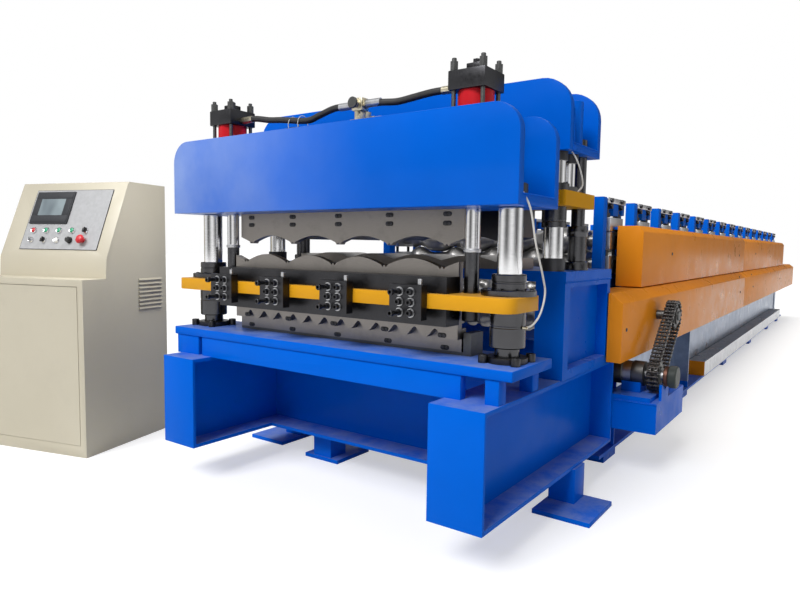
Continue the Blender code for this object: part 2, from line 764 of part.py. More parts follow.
def smooth_route(points, step):
    """Evenly spaced points on a Catmull-Rom curve through a hand-chosen route."""
    knots = [Vector(p) for p in points]
    knots = [2 * knots[0] - knots[1]] + knots + [2 * knots[-1] - knots[-2]]
    fine = []
    for a, b, c, d in zip(knots, knots[1:], knots[2:], knots[3:]):
        for i in range(20):
            t = i / 20
            fine.append(
                0.5 * (2 * b + (c - a) * t + (2 * a - 5 * b + 4 * c - d) * t * t + (3 * b - a - 3 * c + d) * t ** 3)
            )
    fine.append(knots[-2])
    length = sum((q - p).length for p, q in zip(fine, fine[1:]))
    count = max(2, round(length / step))
    spaced = [fine[0]]
    walked = 0.0
    for p, q in zip(fine, fine[1:]):
        part = (q - p).length
        while len(spaced) < count and walked + part >= length * len(spaced) / count:
            spaced.append(p.lerp(q, (length * len(spaced) / count - walked) / part))
        walked += part
    return spaced + [fine[-1]]


def hose(name, points, radius, surface):
    route = smooth_route(points, radius * 5)
    curve = bpy.data.curves.new(name, "CURVE")
    curve.dimensions = "3D"
    curve.bevel_depth = radius
    curve.bevel_resolution = 2
    curve.use_fill_caps = True
    spline = curve.splines.new("POLY")
    spline.points.add(len(route) - 1)
    for point, place in zip(spline.points, route):
        point.co = (*place, 1.0)
    made = bpy.data.objects.new(name, curve)
    main.objects.link(made)
    curve.materials.append(surface)


def hydraulics():
    """Tee block on a bridge between the crosshead's plates, and a hose from it to each cylinder's head."""
    bridge = (HEAD_PLATE + TOUCH, HEAD_BACK - HEAD_PLATE - TOUCH)
    x = (TEE_X - TEE_HALF, TEE_X + TEE_HALF)
    y = (COLUMN_Y - TEE_HALF, COLUMN_Y + TEE_HALF)
    pieces = [
        box(x, bridge, (HEAD_TOP - 0.015, HEAD_TOP)),
        box(x, y, (HEAD_TOP - OVERLAP, TEE_Z + 0.022)),
    ]
    node("hydraulic_tee", PLATE_STEEL, pieces)
    reach = CYLINDER_HEAD / 2 + HOSE_GAP
    left = [
        (-ROD_X + reach, COLUMN_Y, PORT_Z), (-0.400, COLUMN_Y, PORT_Z), (-0.330, 0.126, 1.352), (-0.270, 0.130, 1.347),
        (-0.148, 0.132, 1.333), (-0.080, 0.128, 1.345), (-0.010, COLUMN_Y, TEE_Z),
        (TEE_X - TEE_HALF - HOSE_GAP, COLUMN_Y, TEE_Z),
    ]
    right = [
        (TEE_X + TEE_HALF + HOSE_GAP, COLUMN_Y, TEE_Z), (0.205, COLUMN_Y, TEE_Z), (0.260, 0.128, 1.344),
        (0.330, 0.126, 1.352), (0.400, COLUMN_Y, PORT_Z), (ROD_X - reach, COLUMN_Y, PORT_Z),
    ]
    hose("hydraulic_hose_left", left, HOSE_R, HOSE)
    hose("hydraulic_hose_right", right, HOSE_R, HOSE)


def press_bed():
    """Bed plate on two box legs with a sunk outer panel, its front column bases and rear bushes."""
    foot_z = BEAM_TOP + TOUCH
    under = PRESS_BED_TOP - PRESS_BED
    pieces = [box((-PRESS_HALF, PRESS_HALF), (PRESS_BED_FRONT, PRESS_BED_BACK), (under, PRESS_BED_TOP))]
    cuts = []
    for _, side in SIDES:
        x = mirrored(side, PRESS_HALF - PRESS_LEG, PRESS_HALF - OVERLAP)
        y = (PRESS_BED_FRONT + OVERLAP, PRESS_BED_BACK - OVERLAP)
        pieces.append(box(x, y, (foot_z, under + OVERLAP)))
        sunk = mirrored(side, PRESS_HALF - LEG_PANEL_DEEP, PRESS_HALF + 0.01)
        cuts.append(box(sunk, (LEG_PANEL_FRONT, LEG_PANEL_BACK), (foot_z + 0.030, LEG_PANEL_TOP)))
        bush = (side * REAR_POST_X, REAR_POST_Y, 0)
        pieces.append(cylinder("Z", bush, REAR_BUSH_R, (PRESS_BED_TOP - OVERLAP, REAR_BUSH_TOP), 16))
        pieces.append(cylinder("Z", bush, REAR_FLANGE_R, (REAR_FLANGE_BOTTOM, REAR_BUSH_TOP + 0.001), 16))
        cuts.append(cylinder("Z", bush, REAR_POST_R + RUNNING, (under - 0.01, REAR_BUSH_TOP + 0.01), 16))
    node("press_bed", BLUE, pieces, cuts)


def press_crosshead():
    """Two tall plates and a tie plate, with the cylinders welded in and bushes under it."""
    heights = (PRESS_BOTTOM, PRESS_TOP)
    tie = (PRESS_BOTTOM, PRESS_BOTTOM + PRESS_TIE)
    pieces = [
        head_plate(PRESS_HALF, heights, PRESS_CORNER, (PRESS_FRONT, PRESS_FRONT + PRESS_PLATE)),
        head_plate(PRESS_HALF, heights, PRESS_CORNER, (PRESS_BACK - PRESS_PLATE, PRESS_BACK)),
        box(
            (-PRESS_HALF, PRESS_HALF),
            (PRESS_FRONT + PRESS_PLATE - OVERLAP, PRESS_BACK - PRESS_PLATE + OVERLAP), tie,
        ),
    ]
    cuts = []
    for _, side in SIDES:
        rod = (side * PRESS_ROD_X, PRESS_ROD_Y, 0)
        post = (side * REAR_POST_X, REAR_POST_Y, 0)
        inner_x = (side * (PRESS_ROD_X - 0.004), PRESS_ROD_Y, 0)
        pieces.append(cylinder("Z", rod, PRESS_GLAND_R, (PRESS_BOTTOM - PRESS_GLAND, PRESS_BOTTOM + OVERLAP), 16))
        pieces.append(cylinder("Z", inner_x, PRESS_BARREL_R - 0.006, (tie[1] - OVERLAP, PRESS_TOP - 0.060), 16))
        cuts.append(cylinder("Z", rod, PRESS_ROD_R + RUNNING, (PRESS_BOTTOM - 0.05, PRESS_ROD_TOP + 0.020), 16))
        cuts.append(cylinder("Z", post, REAR_POST_R + RUNNING, (PRESS_BOTTOM - 0.01, tie[1] + 0.01), 16))
    node("press_crosshead", BLUE, pieces, cuts)


def press_guides():
    """Front columns between bed and crosshead; rear posts and rods that ride with the moving plate."""
    top = PRESS_BOTTOM - TOUCH
    bottom = PRESS_BED_TOP + TOUCH
    column = [
        (0.0, top), (0.038, top), (0.038, top - 0.030), (FRONT_COLUMN_R, top - 0.030),
        (FRONT_COLUMN_R, FRONT_BASE_TOP), (FRONT_SLEEVE_R, FRONT_BASE_TOP), (FRONT_SLEEVE_R, bottom), (0.0, bottom),
    ]
    post = [
        (0.0, PRESS_BOTTOM + PRESS_DOWN + POST_SPARE), (REAR_POST_R, PRESS_BOTTOM + PRESS_DOWN + POST_SPARE),
        (REAR_POST_R, POST_BOTTOM),
        (0.0, POST_BOTTOM),
    ]
    for name, side in SIDES:
        front = (side * FRONT_COLUMN_X, FRONT_COLUMN_Y, 0)
        rear = (side * REAR_POST_X, REAR_POST_Y, 0)
        node("press_column_" + name, CHROME, [turned(column, front, segments=16)], smooth=True)
        node("press_post_" + name, CHROME, [turned(post, rear, segments=16)], smooth=True)


def press_moving():
    """Yellow plate of the step press with its rods and front sleeves, bored for columns and posts."""
    loops = [rounded((-PRESS_HALF, PRESS_HALF), (PRESS_MOVING_FRONT, PRESS_MOVING_BACK), 0.006, 2)]
    pieces = []
    cuts = []
    for _, side in SIDES:
        column = (side * FRONT_COLUMN_X, FRONT_COLUMN_Y, 0)
        rod = (side * PRESS_ROD_X, PRESS_ROD_Y, 0)
        loops.append(hole((side * REAR_POST_X, REAR_POST_Y), REAR_POST_R, 16))
        pieces += [
            cylinder("Z", column, FRONT_SLEEVE_R, (FRONT_SLEEVE_BOTTOM, PRESS_MOVING_TOP + OVERLAP), 16),
            cylinder("Z", column, FRONT_SLEEVE_R + 0.006, (PRESS_MOVING_TOP - OVERLAP, PRESS_MOVING_TOP + 0.025), 16),
            cylinder("Z", rod, PRESS_ROD_R, (PRESS_MOVING_TOP - OVERLAP, PRESS_ROD_TOP), 16),
        ]
        bore = (FRONT_SLEEVE_BOTTOM - 0.01, PRESS_MOVING_TOP + 0.04)
        cuts.append(cylinder("Z", column, FRONT_COLUMN_R + RUNNING, bore, 16))
    plate = outline("XY", loops, (PRESS_MOVING_BOTTOM, PRESS_MOVING_TOP))
    node("press_moving_plate", YELLOW, [plate] + pieces, cuts)


def press_dies():
    """Tile step dies: the lower one on the bed, the upper one under the moving plate."""
    y = (DIE_FRONT, DIE_BACK)
    count = 36
    across = [-DIE_HALF + 2 * DIE_HALF * i / count for i in range(count + 1)]
    base = PRESS_BED_TOP + TOUCH
    edge = [(x, wave(x, DIE_LOWER_TOP - DIE_STEP, DIE_LOWER_TOP)) for x in across]
    lower = outline("XZ", [edge + [(DIE_HALF, base), (-DIE_HALF, base)]], y)
    node("press_lower_die", TOOL_STEEL, [lower])
    edge = [(x, wave(x, DIE_UPPER_BOTTOM, DIE_UPPER_BOTTOM + DIE_STEP)) for x in across]
    top = PRESS_MOVING_BOTTOM - TOUCH
    upper = outline("XZ", [edge + [(DIE_HALF, top), (-DIE_HALF, top)]], y)
    node("press_upper_die", BLACK_STEEL, [upper])


def line_base():
    """Long rolled beams with cross members, feet, the far legs and the drive bracket."""
    heights = (LINE_BEAM_BOTTOM, LINE_BEAM_TOP)
    pieces = []
    feet = [LINE_FRONT + 0.200 + LINE_FOOT_PITCH * i for i in range(5)]
    half = LINE_FOOT / 2
    for _, side in SIDES:
        x = side * LINE_BEAM_X
        pieces += i_beam("Y", x, (LINE_FRONT, LINE_BACK), heights, LINE_BEAM_WIDTH, LINE_FLANGE, LINE_WEB)
        for y in feet + [LINE_BACK - 0.250]:
            pieces.append(box((x - half, x + half), (y - half, y + half), (0.0, LINE_BEAM_BOTTOM + OVERLAP)))
            rib = mirrored(side, LINE_BEAM_X - OVERLAP, LINE_BEAM_X + LINE_BEAM_WIDTH / 2 - 0.004)
            inside = (heights[0] + OVERLAP, heights[1] - OVERLAP)
            if side < 0 or y < TROUGH_FRONT - 0.2:
                pieces.append(box(rib, (y - 0.005, y + 0.005), inside))
    for y in feet + [LINE_BACK - 0.250]:
        tube = (y - LEG_THICK / 2, y + LEG_THICK / 2)
        pieces.append(box((-LINE_BEAM_X, LINE_BEAM_X), tube, (0.120, 0.260)))
    reach = (BRACKET_INNER, BRACKET_OUTER)
    plate = (BRACKET_TOP - OVERLAP, BRACKET_TOP + BRACKET_PLATE)
    cheek = (BRACKET_OUTER - CHEEK_THICK, BRACKET_OUTER)
    pieces += [
        box(reach, (BRACKET_FRONT, BRACKET_BACK), (BRACKET_BOTTOM, BRACKET_TOP)),
        box((PLATE_INNER, PLATE_OUTER), (BRACKET_FRONT + 0.002, BRACKET_BACK - 0.002), plate),
        box(cheek, (REDUCER_Y - 0.055, REDUCER_Y + 0.055), (BRACKET_TOP - OVERLAP, CHEEK_TOP)),
        box((SADDLE_INNER, SADDLE_OUTER), (REDUCER_Y - 0.040, REDUCER_Y + 0.040), (plate[1] - OVERLAP, CHEEK_TOP)),
    ]
    for i in GUARD_PAD_STANDS:
        y = FIRST_STAND + i * STAND_PITCH
        pad = (LINE_BEAM_TOP - OVERLAP, LOWER_GUARD_BOTTOM - TOUCH)
        pieces.append(box((GUARD_INNER + 0.005, LINE_BEAM_X + LINE_BEAM_WIDTH / 2), (y - 0.020, y + 0.020), pad))
    for _, side in SIDES:
        foot_x = mirrored(side, LINE_BEAM_X - 0.012, LINE_BEAM_X + 0.012)
        pieces.append(box(foot_x, (LINE_BACK - 0.020, LINE_BACK + 0.120), (0.100, LINE_BEAM_TOP - 0.020)))
    round_hole = cylinder("X", (0, REDUCER_Y, REDUCER_Z), REDUCER_R + 2 * TOUCH, (BRACKET_INNER, REDUCER_OUTER), 20)
    node("line_base", BLUE, pieces, [round_hole])


def roll_stands():
    """Both rows of stand plates on their rails, with the shafts and rolls of both decks."""
    pieces = []
    floor = LINE_BEAM_TOP + TOUCH
    inner = STAND_OUTER - STAND_THICK
    last = FIRST_STAND + (STAND_COUNT - 1) * STAND_PITCH
    rows = [FIRST_STAND + i * STAND_PITCH for i in range(STAND_COUNT)]
    for _, side in SIDES:
        rail = mirrored(side, inner - 0.030, STAND_OUTER + 0.028)
        pieces.append(box(rail, (FIRST_STAND - 0.18, last + 0.18), (floor, floor + RAIL_HEIGHT)))
        for y in rows:
            long = (y - STAND_LENGTH / 2, y + STAND_LENGTH / 2)
            pieces.append(box(mirrored(side, inner, STAND_OUTER), long, (floor + RAIL_HEIGHT - OVERLAP, STAND_TOP)))
            cap = mirrored(side, inner - 0.006, STAND_OUTER + 0.006)
            pieces.append(
                box(cap, (long[0] - 0.006, long[1] + 0.006), (STAND_TOP - OVERLAP, STAND_TOP + STAND_CAP))
            )
    arm = (UPPER_GUARD_TOP - GUARD_SHEET - TOUCH - GUARD_ARM, UPPER_GUARD_TOP - GUARD_SHEET - TOUCH)
    for i in GUARD_ARM_STANDS:
        pieces.append(
            box((STAND_OUTER - OVERLAP, GUARD_INNER + 0.060), (rows[i] - 0.015, rows[i] + 0.015), arm)
        )
    reach = inner + OVERLAP
    drop = ROLL_R + PASS_GAP / 2
    profile = [
        (0.0, reach), (SHAFT_R, reach), (SHAFT_R, ROLL_HALF), (ROLL_R, ROLL_HALF),
        (ROLL_R, -ROLL_HALF), (SHAFT_R, -ROLL_HALF), (SHAFT_R, -reach), (0.0, -reach),
    ]
    for y in rows:
        for deck in (LOWER_DECK, UPPER_DECK):
            for z in (deck - drop, deck + drop):
                pieces.append(turned(profile, (0, y, z), axis="X", segments=6))
    node("roll_stands", BLUE, pieces)


def guard(name, x_out, z, y, chamfer, ends, notch=None):
    """Sheet cover open towards the stands, with an end wall where the row of covers ends."""
    bottom, top = z
    wide, tall = chamfer
    sheet = GUARD_SHEET
    outer = [(GUARD_INNER, bottom), (x_out, bottom), (x_out, top - tall), (x_out - wide, top), (GUARD_INNER, top)]
    inner = [
        (GUARD_INNER - 0.01, bottom + sheet), (x_out - sheet, bottom + sheet), (x_out - sheet, top - tall - sheet * 0.4),
        (x_out - wide - sheet * 0.4, top - sheet), (GUARD_INNER - 0.01, top - sheet),
    ]
    hollow = (y[0] + (sheet if ends[0] else -0.01), y[1] - (sheet if ends[1] else -0.01))
    cuts = [outline("XZ", [inner], hollow)]
    if notch:
        cuts.append(box(*notch))
    node(name, ORANGE, [outline("XZ", [outer], y)], cuts)


def guards():
    half = SEAM_GAP / 2
    upper = (UPPER_GUARD_BOTTOM, UPPER_GUARD_TOP)
    lower = (LOWER_GUARD_BOTTOM, LOWER_GUARD_TOP)
    first = (UPPER_GUARD_FRONT, UPPER_GUARD_SEAM - half)
    second = (UPPER_GUARD_SEAM + half, UPPER_GUARD_BACK)
    guard("upper_guard_front", UPPER_GUARD_X, upper, first, UPPER_CHAMFER, (True, False))
    guard("upper_guard_rear", UPPER_GUARD_X, upper, second, UPPER_CHAMFER, (False, True))
    first = (LOWER_GUARD_FRONT, LOWER_GUARD_SEAM - half)
    second = (LOWER_GUARD_SEAM + half, LOWER_GUARD_BACK)
    round_leg = ((GUARD_INNER - 0.01, PRESS_HALF + 0.002), (LOWER_GUARD_FRONT - 0.01, PRESS_BED_BACK + 0.003),
                 (LOWER_GUARD_BOTTOM - 0.01, LOWER_GUARD_TOP + 0.01))
    guard("lower_guard_front", LOWER_GUARD_X, lower, first, LOWER_CHAMFER, (True, False), round_leg)
    guard("lower_guard_rear", LOWER_GUARD_X, lower, second, LOWER_CHAMFER, (False, True))


def drive():
    """Reducer on its bracket with the lower sprocket, the upper sprocket, and the chain round them."""
    wheel = (CHAIN_X - SPROCKET_WIDTH / 2, CHAIN_X + SPROCKET_WIDTH / 2)
    lower = (0, REDUCER_Y, REDUCER_Z)
    upper = (0, UPPER_SPROCKET_Y, UPPER_SPROCKET_Z)
    body_end = CHAIN_X - CHAIN_WIDTH / 2 - 0.010
    pieces = [
        cylinder("X", lower, REDUCER_R, (REDUCER_INNER + 0.060, body_end), 20),
        cylinder("X", lower, SPROCKET_R, wheel, 20),
        cylinder("X", lower, SHAFT_END_R, (REDUCER_INNER + 0.060, REDUCER_OUTER), 12),
        cylinder("X", lower, REDUCER_R - 0.006, (CHAIN_X + CHAIN_WIDTH / 2 + 0.010, REDUCER_OUTER), 20),
    ]
    node("drive_reducer", BLACK_STEEL, pieces)
    pieces = [
        cylinder("X", upper, SPROCKET_R, wheel, 20),
        cylinder("X", upper, SHAFT_END_R, (LOWER_GUARD_X + TOUCH, wheel[1] + 0.010), 12),
    ]
    node("upper_sprocket", BLACK_STEEL, pieces)
    span = (CHAIN_X - CHAIN_WIDTH / 2, CHAIN_X + CHAIN_WIDTH / 2)
    inside = SPROCKET_R / math.cos(math.pi / (2 * CHAIN_STEPS)) + TOUCH
    ends = ((REDUCER_Y, REDUCER_Z), (UPPER_SPROCKET_Y, UPPER_SPROCKET_Z))
    loops = [belt_loop(*ends, inside + CHAIN_THICK), belt_loop(*ends, inside)]
    node("drive_chain", BLACK_STEEL, [outline("YZ", loops, span)])


def belt_loop(first, second, radius, steps=CHAIN_STEPS):
    """Loop round two equal wheels."""
    along = math.degrees(math.atan2(second[1] - first[1], second[0] - first[0]))
    return arc(second, radius, along - 90, along + 90, steps) + arc(first, radius, along + 90, along + 270, steps)


def trough():
    bottom = LINE_BEAM_BOTTOM + LINE_FLANGE + TOUCH
    node("side_trough", ORANGE, [box((TROUGH_INNER, TROUGH_OUTER), (TROUGH_FRONT, TROUGH_BACK), (bottom, TROUGH_TOP))])


def empty(name, parent, place):
    made = bpy.data.objects.new(name, None)
    main.objects.link(made)
    made.parent = parent
    made.matrix_basis = place
    return made


def cabinet():
    """Desk cabinet drawn from its side, hollow behind the door in its front."""
    place = empty("cabinet_place", None, Matrix.Translation(CABINET_PLACE) @ Matrix.Rotation(CABINET_TURN, 4, "Z"))
    profile = [
        (0.0, 0.0), (CABINET_DEPTH, 0.0), (CABINET_DEPTH, CABINET_TOP), (SLOPE_TOP_BACK + 0.004, CABINET_TOP),
        (SLOPE_TOP_BACK, SLOPE_TOP), (LIP_TOP_BACK, LIP_TOP), (LIP_BOTTOM_BACK, CABINET_LEDGE), (0.0, CABINET_LEDGE),
    ]
    x = (-CABINET_WIDTH + DOOR_MARGIN, -DOOR_MARGIN)
    z = (DOOR_BOTTOM, DOOR_TOP)
    gap, step = DOOR_GAP, DOOR_STEP
    cuts = [
        box((x[0] - gap, x[1] + TOUCH), (-0.01, DOOR_SHEET + TOUCH), (z[0] - gap, z[1] + gap)),
        box((x[0] + step, x[1] - step), (0.0, CABINET_WALL + 0.05), (z[0] + step, z[1] - step)),
        box((-CABINET_WIDTH + CABINET_WALL, -CABINET_WALL), (DOOR_SHEET + 0.012, CABINET_DEPTH - CABINET_WALL),
            (CABINET_WALL, CABINET_ROOM_TOP)),
    ]
    rows = control_places()
    slope = slope_frame(place)
    bores = []
    for _, across, up, _ in rows:
        bore = cylinder("Z", (across, up, 0), CONTROL_BORE_R, (-CONTROL_DEEP - 0.010, 0.010), CONTROL_SIDES)
        bore.data.transform(slope.matrix_basis)
        bores.append(bore)
    shell = outline("YZ", [profile], (-CABINET_WIDTH, 0.0))
    node("cabinet_body", BEIGE, [shell], cuts + bores, parent=place)
    hinge = empty("door_hinge", place, Matrix.Translation((x[1], -DOOR_PROUD, 0)))
    door = box((x[0] - x[1], 0.0), (0.0, DOOR_SHEET + DOOR_PROUD), z)
    node("cabinet_door", BEIGE, [door], parent=hinge)
    controls(slope, rows)


def slope_frame(place):
    """Empty in the middle of the sloped face: X across, Y up the slope, Z out of it."""
    lean = math.atan2(SLOPE_TOP - LIP_TOP, SLOPE_TOP_BACK - LIP_TOP_BACK)
    middle = (-CABINET_WIDTH / 2, (SLOPE_TOP_BACK + LIP_TOP_BACK) / 2, (SLOPE_TOP + LIP_TOP) / 2)
    return empty("slope_place", place, Matrix.Translation(middle) @ Matrix.Rotation(lean, 4, "X"))


def control_places():
    """Name, place across and up, and kind of each control, in two rows."""
    upper = (("red_button", "button"), ("green_button_1", "button"), ("green_button_2", "button"),
             ("green_button_3", "button"), ("upper_selector", "turn"))
    lower = (("key_switch", "key"), ("lower_selector", "turn"), ("white_button", "button"),
             ("speed_knob", "knob"), ("emergency_stop", "stop"))
    places = []
    for up, names in ((UPPER_ROW, upper), (LOWER_ROW, lower)):
        for i, (name, kind) in enumerate(names):
            places.append((name, FIRST_CONTROL + CONTROL_PITCH * i, up, kind))
    return places


def controls(slope, rows):
    """Panel plate with the screen's bezel, and each button, selector and knob in its hole."""
    top = PANEL_THICK + TOUCH
    plate = box(PANEL_ACROSS, PANEL_UP, (TOUCH, top))
    bezel = box(BEZEL_ACROSS, BEZEL_UP, (top - 0.001, top + BEZEL_THICK))
    round_stem = CONTROL_STEM_R / math.cos(math.pi / CONTROL_SIDES) + TOUCH
    holes = [
        cylinder("Z", (across, up, 0), round_stem, (-0.01, 0.02), CONTROL_SIDES) for _, across, up, _ in rows
    ]
    node("operator_panel", PANEL, [plate, bezel], holes, parent=slope)
    surfaces = {"red_button": RED, "white_button": WHITE, "emergency_stop": RED}
    for name, across, up, kind in rows:
        centre = empty(name + "_place", slope, Matrix.Translation((across, up, top)))
        surface = surfaces.get(name, GREEN if name.startswith("green") else BLACK_STEEL)
        node(name, surface, control(kind), smooth=True, parent=centre)


def control(kind):
    """Turned control: a head above the panel and a stem through its hole, with a grip on what turns."""
    travel = {"button": BUTTON_TRAVEL, "stop": STOP_TRAVEL}.get(kind, 0.0)
    rise = STOP_RISE if kind == "stop" else KNOB_RISE if kind == "knob" else BUTTON_RISE
    radius = STOP_R if kind == "stop" else BUTTON_RIM_R
    seat = travel + 0.001
    profile = [
        (0.0, rise), (radius * 0.8, rise), (radius, rise - 0.003), (radius, seat),
        (CONTROL_STEM_R, seat), (CONTROL_STEM_R, -CONTROL_DEEP + travel), (0.0, -CONTROL_DEEP + travel),
    ]
    pieces = [turned(profile, (0, 0, 0), segments=CONTROL_SIDES)]
    if kind in GRIPS:
        half_wide, half_long = GRIPS[kind]
        pieces.append(box((-half_wide, half_wide), (-half_long, half_long), (rise - OVERLAP, KNOB_RISE)))
    return pieces


def stand_on_centre():
    """Move the whole model so that the floor point under its box's middle is the origin."""
    root = bpy.data.objects.new("machine_place", None)
    main.objects.link(root)
    bpy.context.view_layer.update()
    graph = bpy.context.evaluated_depsgraph_get()
    corners = []
    for made in main.objects:
        if made.type in ("MESH", "CURVE"):
            final = made.evaluated_get(graph)
            mesh = final.to_mesh()
            corners += [final.matrix_world @ vertex.co for vertex in mesh.vertices]
            final.to_mesh_clear()
    low = [min(corner[i] for corner in corners) for i in range(3)]
    high = [max(corner[i] for corner in corners) for i in range(3)]
    for made in list(bpy.data.objects):
        if made.parent is None and made is not root:
            made.parent = root
    root.location = (-(low[0] + high[0]) / 2, -(low[1] + high[1]) / 2, -low[2])


shear_base()
shear_bed()
shear_crosshead()
shear_columns()
shear_moving()
die_holder()
shear_blades()
blade_holders()
shear_drive()
hydraulics()
press_bed()
press_crosshead()
press_guides()
press_moving()
press_dies()
line_base()
roll_stands()
guards()
drive()
trough()
cabinet()
stand_on_centre()
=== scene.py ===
"""Looks of the double deck roll forming line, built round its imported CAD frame.

Sizes are in metres in the machine's own axes: X across the line from its middle towards
the drive side, Y back along the line from the shear's front, Z up from the floor.
"""
from functools import partial
import math

import bmesh
import bpy
from mathutils import Matrix, Vector


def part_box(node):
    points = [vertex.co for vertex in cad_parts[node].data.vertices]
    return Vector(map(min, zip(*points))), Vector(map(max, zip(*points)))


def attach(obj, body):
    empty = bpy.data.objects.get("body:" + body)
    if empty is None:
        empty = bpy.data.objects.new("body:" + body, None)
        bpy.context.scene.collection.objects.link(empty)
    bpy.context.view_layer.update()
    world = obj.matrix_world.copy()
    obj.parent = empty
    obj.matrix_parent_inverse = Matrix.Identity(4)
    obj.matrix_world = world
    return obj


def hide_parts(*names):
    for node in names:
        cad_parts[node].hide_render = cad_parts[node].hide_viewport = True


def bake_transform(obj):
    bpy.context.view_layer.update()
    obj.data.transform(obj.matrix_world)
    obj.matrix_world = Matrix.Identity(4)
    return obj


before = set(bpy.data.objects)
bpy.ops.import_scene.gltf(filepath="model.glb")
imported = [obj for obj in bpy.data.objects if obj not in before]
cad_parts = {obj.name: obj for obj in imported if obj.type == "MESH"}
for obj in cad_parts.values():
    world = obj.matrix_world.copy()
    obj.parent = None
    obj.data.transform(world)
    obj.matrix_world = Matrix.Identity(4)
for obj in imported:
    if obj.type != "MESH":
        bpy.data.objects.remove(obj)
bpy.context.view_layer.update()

BED_FRONT = -0.005
bed_low, bed_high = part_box("shear_bed_plate")
MACHINE = Matrix.Translation(((bed_low.x + bed_high.x) / 2, bed_low.y - BED_FRONT, 0.0))
HERE = Matrix.Identity(4)
SIDES = (-1, 1)
# How far a visible face lies off a CAD face beside it
SKIN = 0.0003
FRONT = (0, -1, 0)
RIGHT = (1, 0, 0)
UP = (0, 0, 1)

# Camera of the photograph, in the machine's axes
CAMERA_PLACE = (1.458, -1.541, 0.900)
CAMERA_AZIMUTH = math.radians(35.519)
CAMERA_DOWN = math.radians(4.73)
CAMERA_ROLL = math.radians(0.832)
FOCAL_PIXELS = 641.66
PHOTO_WIDTH = 800
SENSOR = 36.0
AXIS_ROW = 299
MIDDLE_ROW = 300
CAMERA_REACH = 60.0

# Shear
COLUMN_X = 0.651
COLUMN_Y = 0.122
ROD_X = 0.530
BED_TOP = 0.572
HEAD_BACK = 0.269
HEAD_PLATE = 0.030
HEAD_TOP = 1.283
TIE_TOP = 1.041
TILE_PITCH = 0.218
CLAMP_X = (-0.418, -0.157, 0.120, 0.397)
CLAMP_FACE = -0.0303
SCREW_ROWS = (0.769, 0.739, 0.708)
SCREW_COLUMNS = (-0.020, 0.020)
FIXED_BLADE_FACE = 0.132
FIXED_BLADE_SHOWN = FIXED_BLADE_FACE - 0.0005
SLOT_LEVELS = (0.985, 0.605)
SLOT_STEP = 0.028
SLOT_LENGTH = 0.031
SLOT_WIDTH = 0.015
SLOT_SCREW = 0.0074
BLADE_HALF = 0.495
BLADE_THICK = 0.025
MOVING_BLADE_BACK = 0.131
RIB_NOTCHES = 12
RIB_BLADE_TOP = 0.6997
RIB_BLADE_BOTTOM = 0.622
RIB_BLADE_RISE = 0.028
RIB_FIXED_TOP = 0.654
RIB_FIXED_BOTTOM = 0.5823
RIB_FIXED_RISE = 0.013

# Columns, rods and sleeves of both presses
COLUMN_R = 0.036
COLUMN_FOOT = (0.060, 0.5723, 0.5898)
COLUMN_ROOT = 0.640
COLUMN_TOP = 1.010
COLUMN_SCREW = 0.0505
SLEEVE_R = 0.0517
SLEEVE_NECK_R = 0.0500
SLEEVE_BOTTOM = 0.615
SLEEVE_TOP = 0.825
SLEEVE_SEAT = 0.7643
SLEEVE_FLANGE_R = 0.079
SLEEVE_SCREWS_R = 0.066
SLEEVE_SCREWS_Z = 0.7808
ROD_R = 0.0225
ROD_BOTTOM = 0.681
ROD_TOP = 1.190
ROD_NECK = 0.885
PRESS_COLUMN = (0.640, 0.462)
PRESS_POST = (0.655, 0.638)
PRESS_ROD = (0.650, 0.552)
PRESS_TIE = 1.2095
PRESS_BED = 0.8253
PRESS_PLATE_TOP = 1.0840
WELD_WIDTH = 0.0026

# Cylinders and hoses of the shear
BARREL_R = 0.056
BARREL_TOP = 1.345
TIE_ROD_REACH = 0.047
HEAD_BLOCK = 0.120
HEAD_BLOCK_TOP = 1.400
TEE_X = 0.100
TEE_Z = 1.358
PORT_Z = 1.363
RETURN_Z = 1.312
RETURN_Y = COLUMN_Y + 0.030
LOW_PORT_Z = TIE_TOP + 0.050
LOW_PORT_Y = COLUMN_Y + 0.015
HOSE_R = 0.011
LOW_HOSE_R = 0.008
GREASE_Y = 0.113
GREASE_Z = 0.676
GREASE_TUBE_R = 0.0029
PRESS_TUBE_R = 0.0027
TIE_R = 0.0014

# Roll line
STAND_COUNT = 15
STAND_PITCH = 0.450
FIRST_STAND = 1.300
LINE_BEAM_TOP = 0.450
RAIL_TOP = 0.4703
ROLL_R = 0.050
ROLL_HALF = 0.470
SHAFT_R = 0.026
SHAFT_HALF = 0.5350
LOWER_DECK = 0.620
UPPER_DECK = 0.883
PASS_GAP = 0.004
TILE_DEPTHS = (0.004, 0.020)
RIB_DEPTHS = (0.002, 0.012)
SHAFT_RISE = ROLL_R + PASS_GAP / 2
RIB_PITCH = 0.0755
ARM_STANDS = (0, 3, 6, 7, 10, 13)
STUD_X = 0.559
JACK_X = 0.558
RAIL_REACH = 0.180
TROUGH_END = 3.082
FAR = 9.0
FORM_STEPS = 72
FORM_PLACES = [-ROLL_HALF + 2 * ROLL_HALF * i / FORM_STEPS for i in range(FORM_STEPS + 1)]
GUARDS = ("upper_guard_front", "lower_guard_front", "upper_guard_rear", "lower_guard_rear")
UPPER_GUARD_SCREWS = ((1.792, 0.880), (3.946, 0.865), (4.885, 0.876))
LOWER_GUARD_SCREWS = (
    (0.916, 0.596), (3.660, 0.712), (3.746, 0.598), (4.296, 0.712), (4.436, 0.609), (6.606, 0.603),
)

